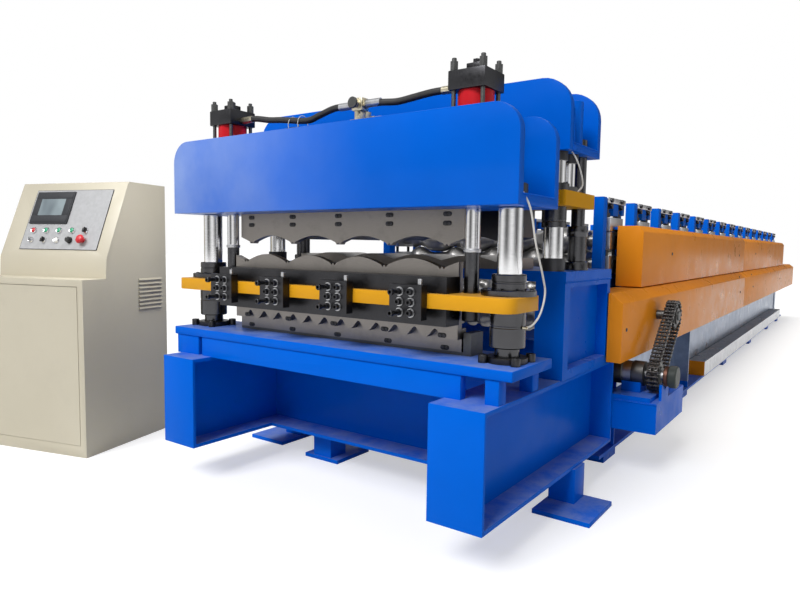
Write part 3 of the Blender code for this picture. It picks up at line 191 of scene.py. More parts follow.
# Parts of one stand: X and Y between two values on either side, then Z from and to
POST_BLOCKS = (
    (0.533, 0.575, -0.150, -0.100, RAIL_TOP, 1.1185),
    (0.538, 0.560, 0.100, 0.150, RAIL_TOP, 1.0950),
    (0.535, 0.573, -0.148, 0.148, RAIL_TOP, 0.4980),
    (0.540, 0.570, -0.1005, 0.1005, 0.7300, 0.7900),
    (0.538, 0.576, -0.022, 0.050, 1.0440, 1.0950),
    (0.540, 0.572, 0.112, 0.150, 1.0500, 1.0955),
)
BEARING_LEVELS = ((0.8970, 0.9740), (0.7920, 0.8700), (0.6360, 0.7240), (0.5080, 0.6060))
BEARING_BLOCKS = (
    (0.538, 0.578, -0.098, 0.150, 1.0955, 1.1192),
    (0.536, 0.584, -0.080, 0.098, 0.9760, 1.0350),
    *[(0.536, 0.582, -0.070, 0.070, low, high) for low, high in BEARING_LEVELS],
)

# Drive
CHAIN_X = 0.822
CHAIN_R = 0.0583
STRANDS = (-0.0117, 0.0117)
LOWER_WHEEL = (1.120, 0.400)
UPPER_WHEEL = (1.360, 0.620)
CHAIN_LINKS = 54
WHEEL_TEETH = 19
WHEEL_ROOT = 0.0515
WHEEL_TIP = 0.0600
REDUCER_INNER = 0.660
REDUCER_END = 0.905
REDUCER_R = 0.050

# Cabinet
CABINET = MACHINE @ Matrix.Translation((-1.107, -0.173, 0.0)) @ Matrix.Rotation(math.radians(16.2), 4, "Z")
CABINET_WIDTH = 0.610
SLOPE_LOW = (0.132, 0.827)
SLOPE_HIGH = (0.270, 1.161)
SLOPE_LEAN = math.atan2(SLOPE_HIGH[1] - SLOPE_LOW[1], SLOPE_HIGH[0] - SLOPE_LOW[0])
SLOPE_MIDDLE = (
    -CABINET_WIDTH / 2, (SLOPE_LOW[0] + SLOPE_HIGH[0]) / 2, (SLOPE_LOW[1] + SLOPE_HIGH[1]) / 2
)
SLOPE = CABINET @ Matrix.Translation(SLOPE_MIDDLE) @ Matrix.Rotation(SLOPE_LEAN, 4, "X")
PANEL_TOP = 0.0033
PANEL_LIP = 0.0016
FIRST_CONTROL = -0.146
CONTROL_PITCH = 0.0745
UPPER_ROW = -0.053
LOWER_ROW = -0.100
STEM_R = 0.0095
STEM_END = -0.018
LOUVRE_COUNT = 8
LOUVRE_STEP = (0.0, 0.0, 0.0187)
LOUVRE_SECTION = ((0.0, 0.0), (0.0060, 0.0015), (0.0075, 0.0040), (0.0, 0.0125))
LOUVRE_LENGTH = 0.150

# Studio: share of the surroundings that lights, and that shows in gloss
WORLD_LIGHT = 0.32
MIRRORED_LIGHT = 0.62
SOFTBOX_COUNT = 4.0
SOFTBOX_TURN = -1.01
SOFTBOX_SWING = 0.48
FLOOR_GLOW = 0.50
FLOOR_REACH = 40.0
# Direction, softness and strength of each sun
LAMPS = (
    ("key", (0.05, 0.70, -0.71), 28.0, 3.0),
    ("fill", (-0.85, 0.10, -0.50), 40.0, 0.20),
)
CABINET_LAMP = 3.6
CABINET_LAMP_PLACE = (-0.80, 0.35, 1.75)
CABINET_LAMP_WAY = (-0.38, -0.30, -0.95)
CABINET_LAMP_SIZE = 0.9
CABINET_LAMP_SPREAD = 75


def placed(name, data):
    made = bpy.data.objects.new(name, data)
    bpy.context.scene.collection.objects.link(made)
    return made


def sight():
    """Camera of the photograph."""
    ahead = Vector((
        -math.sin(CAMERA_AZIMUTH) * math.cos(CAMERA_DOWN),
        math.cos(CAMERA_AZIMUTH) * math.cos(CAMERA_DOWN),
        -math.sin(CAMERA_DOWN),
    ))
    level = Vector((math.cos(CAMERA_AZIMUTH), math.sin(CAMERA_AZIMUTH), 0.0))
    above = level.cross(ahead)
    right = level * math.cos(CAMERA_ROLL) + above * math.sin(CAMERA_ROLL)
    up = above * math.cos(CAMERA_ROLL) - level * math.sin(CAMERA_ROLL)
    camera = placed("photo_camera", bpy.data.cameras.new("photo_camera"))
    turn = Matrix((right, up, -ahead)).transposed().to_4x4()
    camera.matrix_world = MACHINE @ Matrix.Translation(CAMERA_PLACE) @ turn
    camera.data.sensor_width = SENSOR
    camera.data.lens = FOCAL_PIXELS / PHOTO_WIDTH * SENSOR
    camera.data.shift_y = (AXIS_ROW - MIDDLE_ROW) / PHOTO_WIDTH
    camera.data.clip_end = CAMERA_REACH
    bpy.context.scene.camera = camera


sight()


def add_node(tree, kind, inputs=(), **settings):
    """New node, whose inputs are linked where a socket is given, or else set."""
    made = tree.nodes.new(kind)
    for setting, value in settings.items():
        setattr(made, setting, value)
    for socket, value in dict(inputs).items():
        if isinstance(value, bpy.types.NodeSocket):
            tree.links.new(value, made.inputs[socket])
        else:
            made.inputs[socket].default_value = value
    return made


SOCKETS = {
    "roughness": "Roughness", "metallic": "Metallic", "gloss_level": "Specular IOR Level",
    "coat": "Coat Weight", "coat_roughness": "Coat Roughness",
}
EVEN = (1.0, 1.0, 1.0)
NOISE_LOW = 0.3
NOISE_HIGH = 0.7
DUST = (0.40, 0.42, 0.45, 1.0)
# Whitish colour of a painted sheen: a reflection put into the paint's colour
PAINTED_SHEEN = (0.50, 0.60, 0.76, 1.0)
BEIGE_TONES = ((0.475, 0.437, 0.340, 1.0), (0.515, 0.475, 0.375, 1.0))
GRIME = (0.40, 0.37, 0.30, 1.0)
RUBBER_TONES = ((0.012, 0.012, 0.013, 1.0), (0.035, 0.034, 0.034, 1.0))
GLASS_TONES = ((0.13, 0.16, 0.18, 1.0), (0.25, 0.30, 0.32, 1.0))
FLOOR_TONES = ((0.58, 0.58, 0.58, 1.0), (0.62, 0.62, 0.62, 1.0))
WHITE = (1.0, 1.0, 1.0, 1.0)
DAYLIGHT = (1.0, 0.985, 0.96, 1.0)


class Finish:
    """Material with patterns that stay on the piece, on its object coordinates."""

    def __init__(self, name, **sockets):
        self.material = bpy.data.materials.new(name)
        self.material.use_nodes = True
        self.tree = self.material.node_tree
        self.node = partial(add_node, self.tree)
        self.shader = self.tree.nodes["Principled BSDF"]
        self.place = self.node("ShaderNodeTexCoord").outputs["Object"]
        for socket, value in sockets.items():
            self.shader.inputs[SOCKETS[socket]].default_value = value

    def noise(self, scale, detail=3.0, stretch=EVEN, rough=0.55):
        vector = self.place
        if stretch != EVEN:
            inputs = {"Vector": vector, "Scale": stretch}
            vector = self.node("ShaderNodeMapping", inputs).outputs["Vector"]
        inputs = {"Vector": vector, "Scale": scale, "Detail": detail, "Roughness": rough}
        return self.node("ShaderNodeTexNoise", inputs).outputs["Fac"]

    def ranged(self, value, low, high, first, last):
        inputs = {"Value": value, "From Min": low, "From Max": high, "To Min": first, "To Max": last}
        return self.node("ShaderNodeMapRange", inputs).outputs["Result"]

    def drift(self, noise, first=0.0, last=1.0):
        """Noise spread between two values."""
        return self.ranged(noise, NOISE_LOW, NOISE_HIGH, first, last)

    def sum_of(self, first, second, operation="MULTIPLY"):
        return self.node("ShaderNodeMath", {0: first, 1: second}, operation=operation).outputs[0]

    def mixed(self, share, first, second):
        made = self.node("ShaderNodeMix", {0: share, 6: first, 7: second}, data_type="RGBA")
        return made.outputs[2]

    def toned(self, noise, colour, dark, light):
        return self.mixed(self.drift(noise), shade(colour, dark), shade(colour, light))

    def parted(self):
        """X, Y and Z of the place on the piece."""
        return self.node("ShaderNodeSeparateXYZ", {0: self.place}).outputs

    def dusted(self, base, low, high, dust):
        """Dust on what faces up, thicker in patches."""
        normal = self.node("ShaderNodeNewGeometry").outputs["Normal"]
        height = self.node("ShaderNodeSeparateXYZ", {0: normal}).outputs["Z"]
        settled = self.ranged(self.noise(7.0, 5.0, rough=0.7), 0.35, 0.75, low, high)
        cover = self.sum_of(self.ranged(height, 0.75, 0.98, 0.0, 1.0), settled)
        return self.mixed(self.sum_of(cover, dust), base, DUST)

    def colour(self, value):
        self.tree.links.new(value, self.shader.inputs["Base Color"])

    def roughness(self, value):
        self.tree.links.new(value, self.shader.inputs["Roughness"])

    def bump(self, height, strength, distance=0.001):
        made = self.node("ShaderNodeBump", {"Height": height, "Strength": strength, "Distance": distance})
        self.tree.links.new(made.outputs["Normal"], self.shader.inputs["Normal"])


def shade(colour, factor):
    return (*[min(1.0, part * factor) for part in colour], 1.0)


def painted(name, colour, dust=0.30, gloss=0.34, coat=0.05, peel=0.06, level=0.12, specked=0.22, painted_sheen=0.0):
    """Sprayed gloss paint: slight tone drift, dust on what faces up, orange peel, and where asked a painted
    sheen of whitish patches, strongest towards the machine's left.
    """
    made = Finish(name, gloss_level=level, coat=coat, coat_roughness=0.16)
    base = made.toned(made.noise(2.3, 4.0), colour, 0.93, 1.06)
    specks = made.ranged(made.noise(38.0, 5.0), 0.68, 0.76, 0.0, specked)
    base = made.mixed(specks, base, shade(colour, 0.62))
    base = made.dusted(base, 0.15, 1.0, dust)
    # Painted sheen: whitish patches that stand in for a reflection, strongest towards the machine's left
    if painted_sheen:
        middle = MACHINE.translation.x
        left = made.ranged(made.parted()["X"], middle - 0.60, middle + 0.45, 1.0, 0.0)
        sheen_patches = made.ranged(made.noise(2.2, 5.0, (1.0, 1.0, 0.8)), 0.20, 0.72, 0.0, painted_sheen)
        base = made.mixed(made.sum_of(made.sum_of(left, left), sheen_patches), base, PAINTED_SHEEN)
    made.colour(base)
    made.roughness(made.drift(made.noise(9.0, 4.0), gloss - 0.06, gloss + 0.12))
    made.bump(made.noise(420.0, 2.0), peel)
    return made.material


def painted_with_steel(name, colour, steel_boxes, steel=(0.060, 0.060, 0.064)):
    """Sprayed paint, and bare steel inside boxes given as (axis, low, high) in the machine's axes."""
    made = Finish(name, gloss_level=0.03)
    places = made.parted()
    shift = dict(zip("XYZ", MACHINE.translation))
    bare = None
    for tests in steel_boxes:
        inside = None
        for axis, low, high in tests:
            above = made.sum_of(places[axis], low + shift[axis], "GREATER_THAN")
            both = made.sum_of(above, made.sum_of(places[axis], high + shift[axis], "LESS_THAN"))
            inside = both if inside is None else made.sum_of(inside, both)
        bare = inside if bare is None else made.sum_of(bare, inside, "MAXIMUM")
    paint = made.dusted(made.toned(made.noise(2.3, 4.0), colour, 0.93, 1.06), 0.05, 0.34, 1.0)
    worn = made.mixed(made.noise(24.0, 5.0), shade(steel, 0.7), shade(steel, 1.4))
    made.colour(made.mixed(bare, paint, worn))
    made.tree.links.new(bare, made.shader.inputs["Metallic"])
    made.roughness(made.drift(made.noise(9.0, 4.0), 0.25, 0.42))
    made.bump(made.noise(420.0, 2.0), 0.06)
    return made.material


def metal(name, colour, roughness, spread, stain, strength, grain=EVEN):
    """Machined or plated steel: fine grain along one axis, and a few darker stains."""
    made = Finish(name, metallic=1.0)
    lines = made.noise(160.0, 4.0, grain)
    patches = made.ranged(made.noise(11.0, 5.0, rough=0.65), 0.52, 0.72, 0.0, stain)
    made.colour(made.mixed(patches, made.toned(lines, colour, 0.90, 1.08), shade(colour, 0.45)))
    made.roughness(made.drift(lines, roughness - spread / 2, roughness + spread))
    made.bump(lines, strength, 0.0004)
    return made.material


def moulded(name, colour, roughness=0.35, grain=0.03, level=0.5):
    """Plastic, or smooth coated sheet, with a fine mottle."""
    made = Finish(name, gloss_level=level)
    made.colour(made.toned(made.noise(60.0, 3.0), colour, 0.92, 1.05))
    made.roughness(made.drift(made.noise(90.0, 3.0), roughness - 0.05, roughness + 0.08))
    made.bump(made.noise(900.0, 2.0), grain, 0.0003)
    return made.material


def powder_coated():
    made = Finish("beige_powder_coat")
    base = made.mixed(made.drift(made.noise(2.0, 4.0)), *BEIGE_TONES)
    grime = made.ranged(made.noise(5.5, 6.0, rough=0.7), 0.55, 0.80, 0.0, 0.25)
    made.colour(made.mixed(grime, base, GRIME))
    made.roughness(made.drift(made.noise(30.0, 3.0), 0.38, 0.50))
    made.bump(made.noise(520.0, 3.0), 0.16, 0.0006)
    return made.material


def braided_rubber():
    made = Finish("hose_rubber")
    spiral = made.node("ShaderNodeTexWave", {"Vector": made.place, "Scale": 120.0, "Distortion": 1.5})
    made.colour(made.mixed(made.noise(30.0, 4.0), *RUBBER_TONES))
    made.roughness(made.drift(made.noise(70.0, 3.0), 0.38, 0.55))
    made.bump(spiral.outputs["Fac"], 0.12, 0.0006)
    return made.material


def screen_glass():
    made = Finish("screen_glass", roughness=0.35, gloss_level=0.15)
    bands = made.ranged(made.noise(9.0, 2.0, (1.0, 1.0, 0.3)), 0.35, 0.65, 0.0, 1.0)
    made.colour(made.mixed(bands, *GLASS_TONES))
    return made.material


BLUE_PAINT = (0.0, 0.112, 0.620)
YELLOW_PAINT = (0.650, 0.310, 0.012)
TROUGH_PAINT = (0.700, 0.240, 0.014)
GUARD_PAINT = (0.740, 0.250, 0.014)
GALVANISED = (0.520, 0.535, 0.560)
SIDE_STEEL = (0.200, 0.245, 0.330)
BLUE = painted("blue_paint", BLUE_PAINT, dust=0.50, level=0.02)
# The crosshead's paint carries a painted sheen: whitish patches towards its left end
HEAD_BLUE = painted("head_blue_paint", BLUE_PAINT, dust=0.40, coat=0.12, level=0.02, painted_sheen=0.62)
YELLOW = painted("yellow_paint", YELLOW_PAINT, dust=0.12)
ORANGE = painted("orange_paint", GUARD_PAINT, 0.06, 0.30, 0.08, peel=0.0, level=0.06, specked=0.0)
RED = painted("red_paint", (0.600, 0.012, 0.020), dust=0.10)
# Steels: colour, roughness and its spread, stains, strength of the grain, and how the grain is stretched
SLEEVE_STEEL = metal("sleeve_steel", (0.085, 0.085, 0.090), 0.20, 0.08, 0.20, 0.02, (0.5, 0.5, 6.0))
CHROME = metal("chrome_steel", (0.82, 0.82, 0.83), 0.09, 0.03, 0.05, 0.004, (0.3, 0.3, 8.0))
BLACKENED = metal("blackened_steel", (0.052, 0.052, 0.056), 0.34, 0.14, 0.30, 0.05, (3.0, 3.0, 0.6))
TOOL_STEEL = metal("ground_tool_steel", (0.255, 0.236, 0.218), 0.36, 0.14, 0.30, 0.04, (0.2, 1.0, 5.0))
ROLL_STEEL = metal("roll_steel", (0.270, 0.264, 0.256), 0.36, 0.10, 0.30, 0.03, (6.0, 0.3, 0.3))
PLATE_STEEL = metal("bright_plate_steel", (0.520, 0.525, 0.540), 0.36, 0.14, 0.40, 0.06, (0.4, 3.0, 3.0))
ZINC = metal("zinc_fitting", (0.640, 0.585, 0.440), 0.32, 0.10, 0.25, 0.04)
GREY_STEEL = metal("grey_steel", (0.120, 0.122, 0.120), 0.42, 0.12, 0.35, 0.08)
COPPER = metal("worn_coupling", (0.150, 0.075, 0.055), 0.45, 0.12, 0.40, 0.08)
CHAIN_STEEL = metal("chain_steel", (0.070, 0.066, 0.064), 0.38, 0.12, 0.40, 0.05)
SCREW_BLACK = metal("black_screw", (0.060, 0.060, 0.064), 0.30, 0.10, 0.20, 0.02)
# Near-black of the blades' slots: painted shadow where the slots' depth would be
PAINTED_SLOT_SHADE = moulded("slot_shadow", (0.010, 0.010, 0.011), 0.60)
HOSE = braided_rubber()
BEIGE = powder_coated()
PANEL = moulded("panel_silver", (0.400, 0.404, 0.415), 0.45, 0.02, 0.30)
BEZEL = moulded("bezel_grey", (0.040, 0.042, 0.047), 0.50, 0.05, 0.15)
GLASS = screen_glass()
RED_PLASTIC = moulded("red_plastic", (0.560, 0.018, 0.028))
GREEN_PLASTIC = moulded("green_plastic", (0.035, 0.330, 0.170))
WHITE_PLASTIC = moulded("white_plastic", (0.780, 0.775, 0.750))
BLACK_PLASTIC = moulded("black_plastic", (0.020, 0.020, 0.021), 0.32)
NYLON = moulded("nylon_tube", (0.660, 0.655, 0.620), 0.30)
GREEN_STEEL = painted("grey_green_paint", (0.042, 0.050, 0.046), dust=0.15, gloss=0.40, coat=0.1)

# Slot names by first finish: shown() looks one up where a piece doesn't give another, and keeps it nowhere
SLOTS = {
    BLUE: "blue_paint", HEAD_BLUE: "blue_paint", YELLOW: "yellow_paint", ORANGE: "orange_paint",
    RED: "red_paint", CHROME: "chrome_steel", BEIGE: "beige_paint", HOSE: "hose_rubber",
    RED_PLASTIC: "red_plastic", GREEN_PLASTIC: "green_plastic", WHITE_PLASTIC: "white_plastic",
    BLACK_PLASTIC: "black_plastic", NYLON: "white_plastic",
    **dict.fromkeys((TOOL_STEEL, ROLL_STEEL, PLATE_STEEL, ZINC), "tool_steel"),
    **dict.fromkeys((SLEEVE_STEEL, BLACKENED, GREY_STEEL), "blackened_steel"),
    **dict.fromkeys((CHAIN_STEEL, SCREW_BLACK, PAINTED_SLOT_SHADE), "blackened_steel"),
}


def moved(bm, verts, matrix, index):
    bmesh.ops.transform(bm, matrix=matrix, verts=verts)
    for face in {face for vert in verts for face in vert.link_faces}:
        face.material_index = index
        face.smooth = True


def block(bm, x, y, z, index=0, bevel=0.0):
    """Block between two values on each axis, with its edges rounded."""
    verts = bmesh.ops.create_cube(bm, size=1.0)["verts"]
    sizes = [abs(b - a) for a, b in (x, y, z)]
    centre = [(a + b) / 2 for a, b in (x, y, z)]
    moved(bm, verts, Matrix.Translation(centre) @ Matrix.Diagonal((*sizes, 1)), index)
    if bevel:
        edges = list({edge for vert in verts for edge in vert.link_edges})
        bmesh.ops.bevel(bm, geom=edges, offset=bevel, segments=2, affect="EDGES", profile=0.5, material=index)


ALONG = {
    "X": Matrix.Rotation(math.radians(90), 4, "Y"),
    "Y": Matrix.Rotation(math.radians(-90), 4, "X"),
    "Z": HERE,
}
# Outlines drawn across X, with their thickness along it, and the same for Y
ACROSS_X = Matrix(((0, 0, 1, 0), (1, 0, 0, 0), (0, 1, 0, 0), (0, 0, 0, 1)))
ACROSS_Y = Matrix(((1, 0, 0, 0), (0, 0, 1, 0), (0, 1, 0, 0), (0, 0, 0, 1)))


def lathe(bm, profile, matrix=HERE, segments=32, index=0, closed=False):
    """Turned form: radius and height pairs round the local Z axis. Radius 0 closes an end."""
    rings = []
    for radius, height in profile:
        if radius == 0.0:
            rings.append([bm.verts.new((0.0, 0.0, height))])
            continue
        turns = [2 * math.pi * i / segments for i in range(segments)]
        rings.append([bm.verts.new((radius * math.cos(t), radius * math.sin(t), height)) for t in turns])
    pairs = list(zip(rings, rings[1:]))
    if closed:
        pairs.append((rings[-1], rings[0]))
    faces = []
    for low, high in pairs:
        for i in range(segments):
            j = (i + 1) % segments
            corners = [low[i % len(low)], low[j % len(low)], high[j % len(high)], high[i % len(high)]]
            corners = list(dict.fromkeys(corners))
            if len(corners) > 2:
                faces.append(bm.faces.new(corners))
    verts = [vert for ring in rings for vert in ring]
    bmesh.ops.recalc_face_normals(bm, faces=faces)
    moved(bm, verts, matrix, index)


def bar(bm, axis, centre, radius, span, segments=24, index=0, edge=0.0):
    """Round bar along an axis between two values on it, with a small chamfer at its ends."""
    place = list(centre)
    place["XYZ".index(axis)] = 0.0
    low, high = sorted(span)
    rims = [(radius, low), (radius, high)]
    if edge:
        rims = [(radius - edge, low), (radius, low + edge), (radius, high - edge), (radius - edge, high)]
    lathe(bm, [(0.0, low), *rims, (0.0, high)], Matrix.Translation(place) @ ALONG[axis], segments, index)


def prism(bm, loop, matrix, depth, index=0):
    """Flat outline given thickness along the local Z axis."""
    low = [bm.verts.new((x, y, 0.0)) for x, y in loop]
    high = [bm.verts.new((x, y, depth)) for x, y in loop]
    faces = [bm.faces.new(low[::-1]), bm.faces.new(high)]
    for i in range(len(loop)):
        j = (i + 1) % len(loop)
        faces.append(bm.faces.new((low[i], low[j], high[j], high[i])))
    bmesh.ops.recalc_face_normals(bm, faces=faces)
    moved(bm, low + high, matrix, index)


def circle(centre, radius, start, end, steps):
    """Points on an arc, in degrees."""
    turns = [math.radians(start + (end - start) * i / steps) for i in range(steps + 1)]
    return [(centre[0] + radius * math.cos(t), centre[1] + radius * math.sin(t)) for t in turns]


def oblong(reach, radius, steps):
    """Outline with two round ends whose centres are that far to either side."""
    return circle((reach, 0), radius, -90, 90, steps) + circle((-reach, 0), radius, 90, 270, steps)


def shown(name, mesh, body, finishes, slot=None, sharp=35.0, replaces=()):
    """A finished mesh as a piece of the object that rides on a body."""
    mesh.name = name
    if not mesh.materials:
        for finish in finishes:
            mesh.materials.append(finish)
    mesh.shade_smooth()
    mesh.set_sharp_from_angle(angle=math.radians(sharp))
    made = placed(name, mesh)
    slot = slot or SLOTS[finishes[0]]
    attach(made, body)
    if replaces:
        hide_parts(*replaces)


def plain(name, bm):
    mesh = bpy.data.meshes.new(name)
    bm.to_mesh(mesh)
    bm.free()
    return mesh


def piece(name, bm, body, finishes, slot=None, place=MACHINE, sharp=35.0, replaces=()):
    mesh = plain(name, bm)
    mesh.transform(place)
    shown(name, mesh, body, finishes, slot, sharp, replaces)


def template(name, bm):
    """A part that only Geometry Nodes copy from."""
    mesh = plain(name, bm)
    mesh.shade_smooth()
    return bpy.data.objects.new(name, mesh)


def new_tree(name, sockets):
    tree = bpy.data.node_groups.new(name, "GeometryNodeTree")
    tree.is_modifier = True
    tree.interface.new_socket("Geometry", in_out="INPUT", socket_type="NodeSocketGeometry")
    for label, kind in {**sockets, "Finish": "Material"}.items():
        tree.interface.new_socket(label, in_out="INPUT", socket_type="NodeSocket" + kind)
    tree.interface.new_socket("Geometry", in_out="OUTPUT", socket_type="NodeSocketGeometry")
    return tree, tree.nodes.new("NodeGroupInput").outputs, partial(add_node, tree)


def end_tree(add, instances, finish):
    real = add("GeometryNodeRealizeInstances", {"Geometry": instances}).outputs[0]
    dressed = add("GeometryNodeSetMaterial", {"Geometry": real, "Material": finish}).outputs[0]
    add("NodeGroupOutput", {"Geometry": dressed})


def copies_tree():
    """One copy of a part on each point, all turned alike."""
    tree, given, add = new_tree("copies_on_points", {"Part": "Object", "Turn": "Vector"})
    part = add("GeometryNodeObjectInfo", {"Object": given["Part"]}).outputs["Geometry"]
    inputs = {"Points": given["Geometry"], "Instance": part, "Rotation": given["Turn"]}
    end_tree(add, add("GeometryNodeInstanceOnPoints", inputs).outputs[0], given["Finish"])
    return tree


def row_tree():
    """A straight row of copies of a part."""
    sockets = {"Part": "Object", "Count": "Int", "First": "Vector", "Step": "Vector"}
    tree, given, add = new_tree("row_of_copies", sockets)
    part = add("GeometryNodeObjectInfo", {"Object": given["Part"]}).outputs["Geometry"]
    inputs = {"Count": given["Count"], "Start Location": given["First"], "Offset": given["Step"]}
    points = add("GeometryNodeMeshLine", inputs).outputs["Mesh"]
    instances = add("GeometryNodeInstanceOnPoints", {"Points": points, "Instance": part}).outputs[0]
    end_tree(add, instances, given["Finish"])
    return tree


def links_tree():
    """Two kinds of link by turns along a closed path that lies across the X axis."""
    sockets = {"Inner link": "Object", "Outer link": "Object", "Link count": "Int"}
    tree, given, add = new_tree("chain_on_path", sockets)
    inputs = {"Curve": given["Geometry"], "Count": given["Link count"]}
    path = add("GeometryNodeResampleCurve", inputs).outputs[0]
    tangent = add("GeometryNodeInputTangent").outputs[0]
    turn = add("FunctionNodeAlignRotationToVector", {"Vector": tangent}, axis="Y", pivot_axis="X").outputs[0]
    index = add("GeometryNodeInputIndex").outputs[0]
    odd = add("ShaderNodeMath", {0: index, 1: 2.0}, operation="MODULO").outputs[0]
    even = add("FunctionNodeBooleanMath", {0: odd}, operation="NOT").outputs[0]
    joined = add("GeometryNodeJoinGeometry")
    for label, chosen in (("Inner link", odd), ("Outer link", even)):
        part = add("GeometryNodeObjectInfo", {"Object": given[label]}).outputs["Geometry"]
        inputs = {"Points": path, "Selection": chosen, "Instance": part, "Rotation": turn}
        tree.links.new(add("GeometryNodeInstanceOnPoints", inputs).outputs[0], joined.inputs[0])
    end_tree(add, joined.outputs[0], given["Finish"])
    return tree


def beads_tree():
    """Overlapping flat drops along a path, as a weld bead."""
    tree, given, add = new_tree("weld_bead", {"Bead width": "Float", "Bead pitch": "Float"})
    inputs = {"Curve": given["Geometry"], "Length": given["Bead pitch"]}
    path = add("GeometryNodeResampleCurve", inputs, mode="LENGTH").outputs[0]
    drop = add("GeometryNodeMeshIcoSphere", {"Radius": 1.0, "Subdivisions": 1}).outputs["Mesh"]
    uneven = add("FunctionNodeRandomValue", {"Seed": 7, 2: 0.85, 3: 1.15}, data_type="FLOAT")
    inputs = {0: given["Bead width"], 1: uneven.outputs[1]}
    size = add("ShaderNodeMath", inputs, operation="MULTIPLY").outputs[0]
    drops = add("GeometryNodeInstanceOnPoints", {"Points": path, "Instance": drop, "Scale": size}).outputs[0]
    end_tree(add, drops, given["Finish"])
    return tree


def settled_mesh(source, place):
    """The plain mesh of a source object as it stands. The source is removed."""
    bpy.context.scene.collection.objects.link(source)
    bpy.context.view_layer.update()
    graph = bpy.context.evaluated_depsgraph_get()
    mesh = bpy.data.meshes.new_from_object(source.evaluated_get(graph))
    mesh.transform(place)
    bpy.data.objects.remove(source, do_unlink=True)
    return mesh


def grown(source, tree, inputs, place=MACHINE):
    """The plain mesh that a tree makes from a source object's geometry."""
    modifier = source.modifiers.new("Grow", "NODES")
    modifier.node_group = tree
    for item in tree.interface.items_tree:
        if item.in_out == "INPUT" and item.name in inputs:
            modifier[item.identifier] = inputs[item.name]
    return settled_mesh(source, place)


COPIES = copies_tree()
ROW = row_tree()
LINKS = links_tree()
BEADS = beads_tree()


def copies(name, part, spots, way, body, finish, place=MACHINE):
    """Copies of a part at the given spots. The part's +Z points the given way."""
    mesh = bpy.data.meshes.new(name + "_points")
    mesh.from_pydata(spots, [], [])
    turn = tuple(Vector(way).to_track_quat("Z", "Y").to_euler())
    inputs = {"Part": part, "Turn": turn, "Finish": finish}
    grew = grown(bpy.data.objects.new(name + "_points", mesh), COPIES, inputs, place)
    shown(name, grew, body, [finish])


def row(name, part, count, first, step, finish, place=MACHINE, replaces=()):
    source = bpy.data.objects.new(name + "_start", bpy.data.meshes.new(name + "_start"))
    inputs = {"Part": part, "Count": count, "First": first, "Step": step, "Finish": finish}
    shown(name, grown(source, ROW, inputs, place), "frame", [finish], replaces=replaces)


def path_object(name, points, cyclic=False):
    curve = bpy.data.curves.new(name, "CURVE")
    curve.dimensions = "3D"
    spline = curve.splines.new("POLY")
    spline.points.add(len(points) - 1)
    for point, place in zip(spline.points, points):
        point.co = (*place, 1.0)
    spline.use_cyclic_u = cyclic
    return bpy.data.objects.new(name, curve)


def weld(name, points):
    inputs = {"Bead width": WELD_WIDTH, "Bead pitch": WELD_WIDTH * 1.1, "Finish": BLUE}
    shown(name, grown(path_object(name, points), BEADS, inputs), "frame", [BLUE], sharp=60.0)


def smooth_route(points, steps=12):
    """Points on a Catmull-Rom curve through a given route."""
    knots = [Vector(p) for p in points]
    knots = [2 * knots[0] - knots[1]] + knots + [2 * knots[-1] - knots[-2]]
    fine = []
    for a, b, c, d in zip(knots, knots[1:], knots[2:], knots[3:]):
        for i in range(steps):
            t = i / steps
            bend = (2 * a - 5 * b + 4 * c - d) * t * t + (3 * b - a - 3 * c + d) * t ** 3
            fine.append(0.5 * (2 * b + (c - a) * t + bend))
    return fine + [knots[-2]]


def tube_mesh(name, points, radius, sides):
    """Round hose or tube along a smooth route."""
    drawn = path_object(name, smooth_route(points))
    drawn.data.bevel_depth = radius
    drawn.data.bevel_resolution = sides
    drawn.data.use_fill_caps = True
    mesh = settled_mesh(drawn, MACHINE)
    mesh.materials.clear()
    return mesh


def tube(name, points, radius, finish, sides=6, replaces=()):
    shown(name, tube_mesh(name, points, radius, sides), "frame", [finish], sharp=60.0, replaces=replaces)


def bending_tube(name, points, radius, finish):
    mesh = tube_mesh(name, points, radius, 3)
    mesh.materials.append(finish)
    mesh.shade_smooth()
    made = placed(name, mesh)
    return made


def cap_screw(radius, height):
    """Socket head screw standing on its seat."""
    bm = bmesh.new()
    inner = radius * 0.52
    profile = [
        (radius, 0.0), (radius, height * 0.90), (radius * 0.93, height), (inner, height),
        (inner, height * 0.45), (0.0, height * 0.45),
    ]
    lathe(bm, profile, HERE, 20)
    return template("cap_screw", bm)


def washer(inner, outer, thick):
    bm = bmesh.new()
    lathe(bm, [(inner, 0.0), (outer, 0.0), (outer, thick), (inner, thick)], HERE, 24, closed=True)
    return template("washer", bm)


def hex_nut(radius, height, stud):
    """Six-sided nut, with the end of its stud."""
    bm = bmesh.new()
    prism(bm, circle((0, 0), radius, 0, 300, 5), HERE, height)
    bar(bm, "Z", (0, 0, 0), radius * 0.55, (height - 0.001, height + stud), 14, 0, 0.001)
    return template("hex_nut", bm)


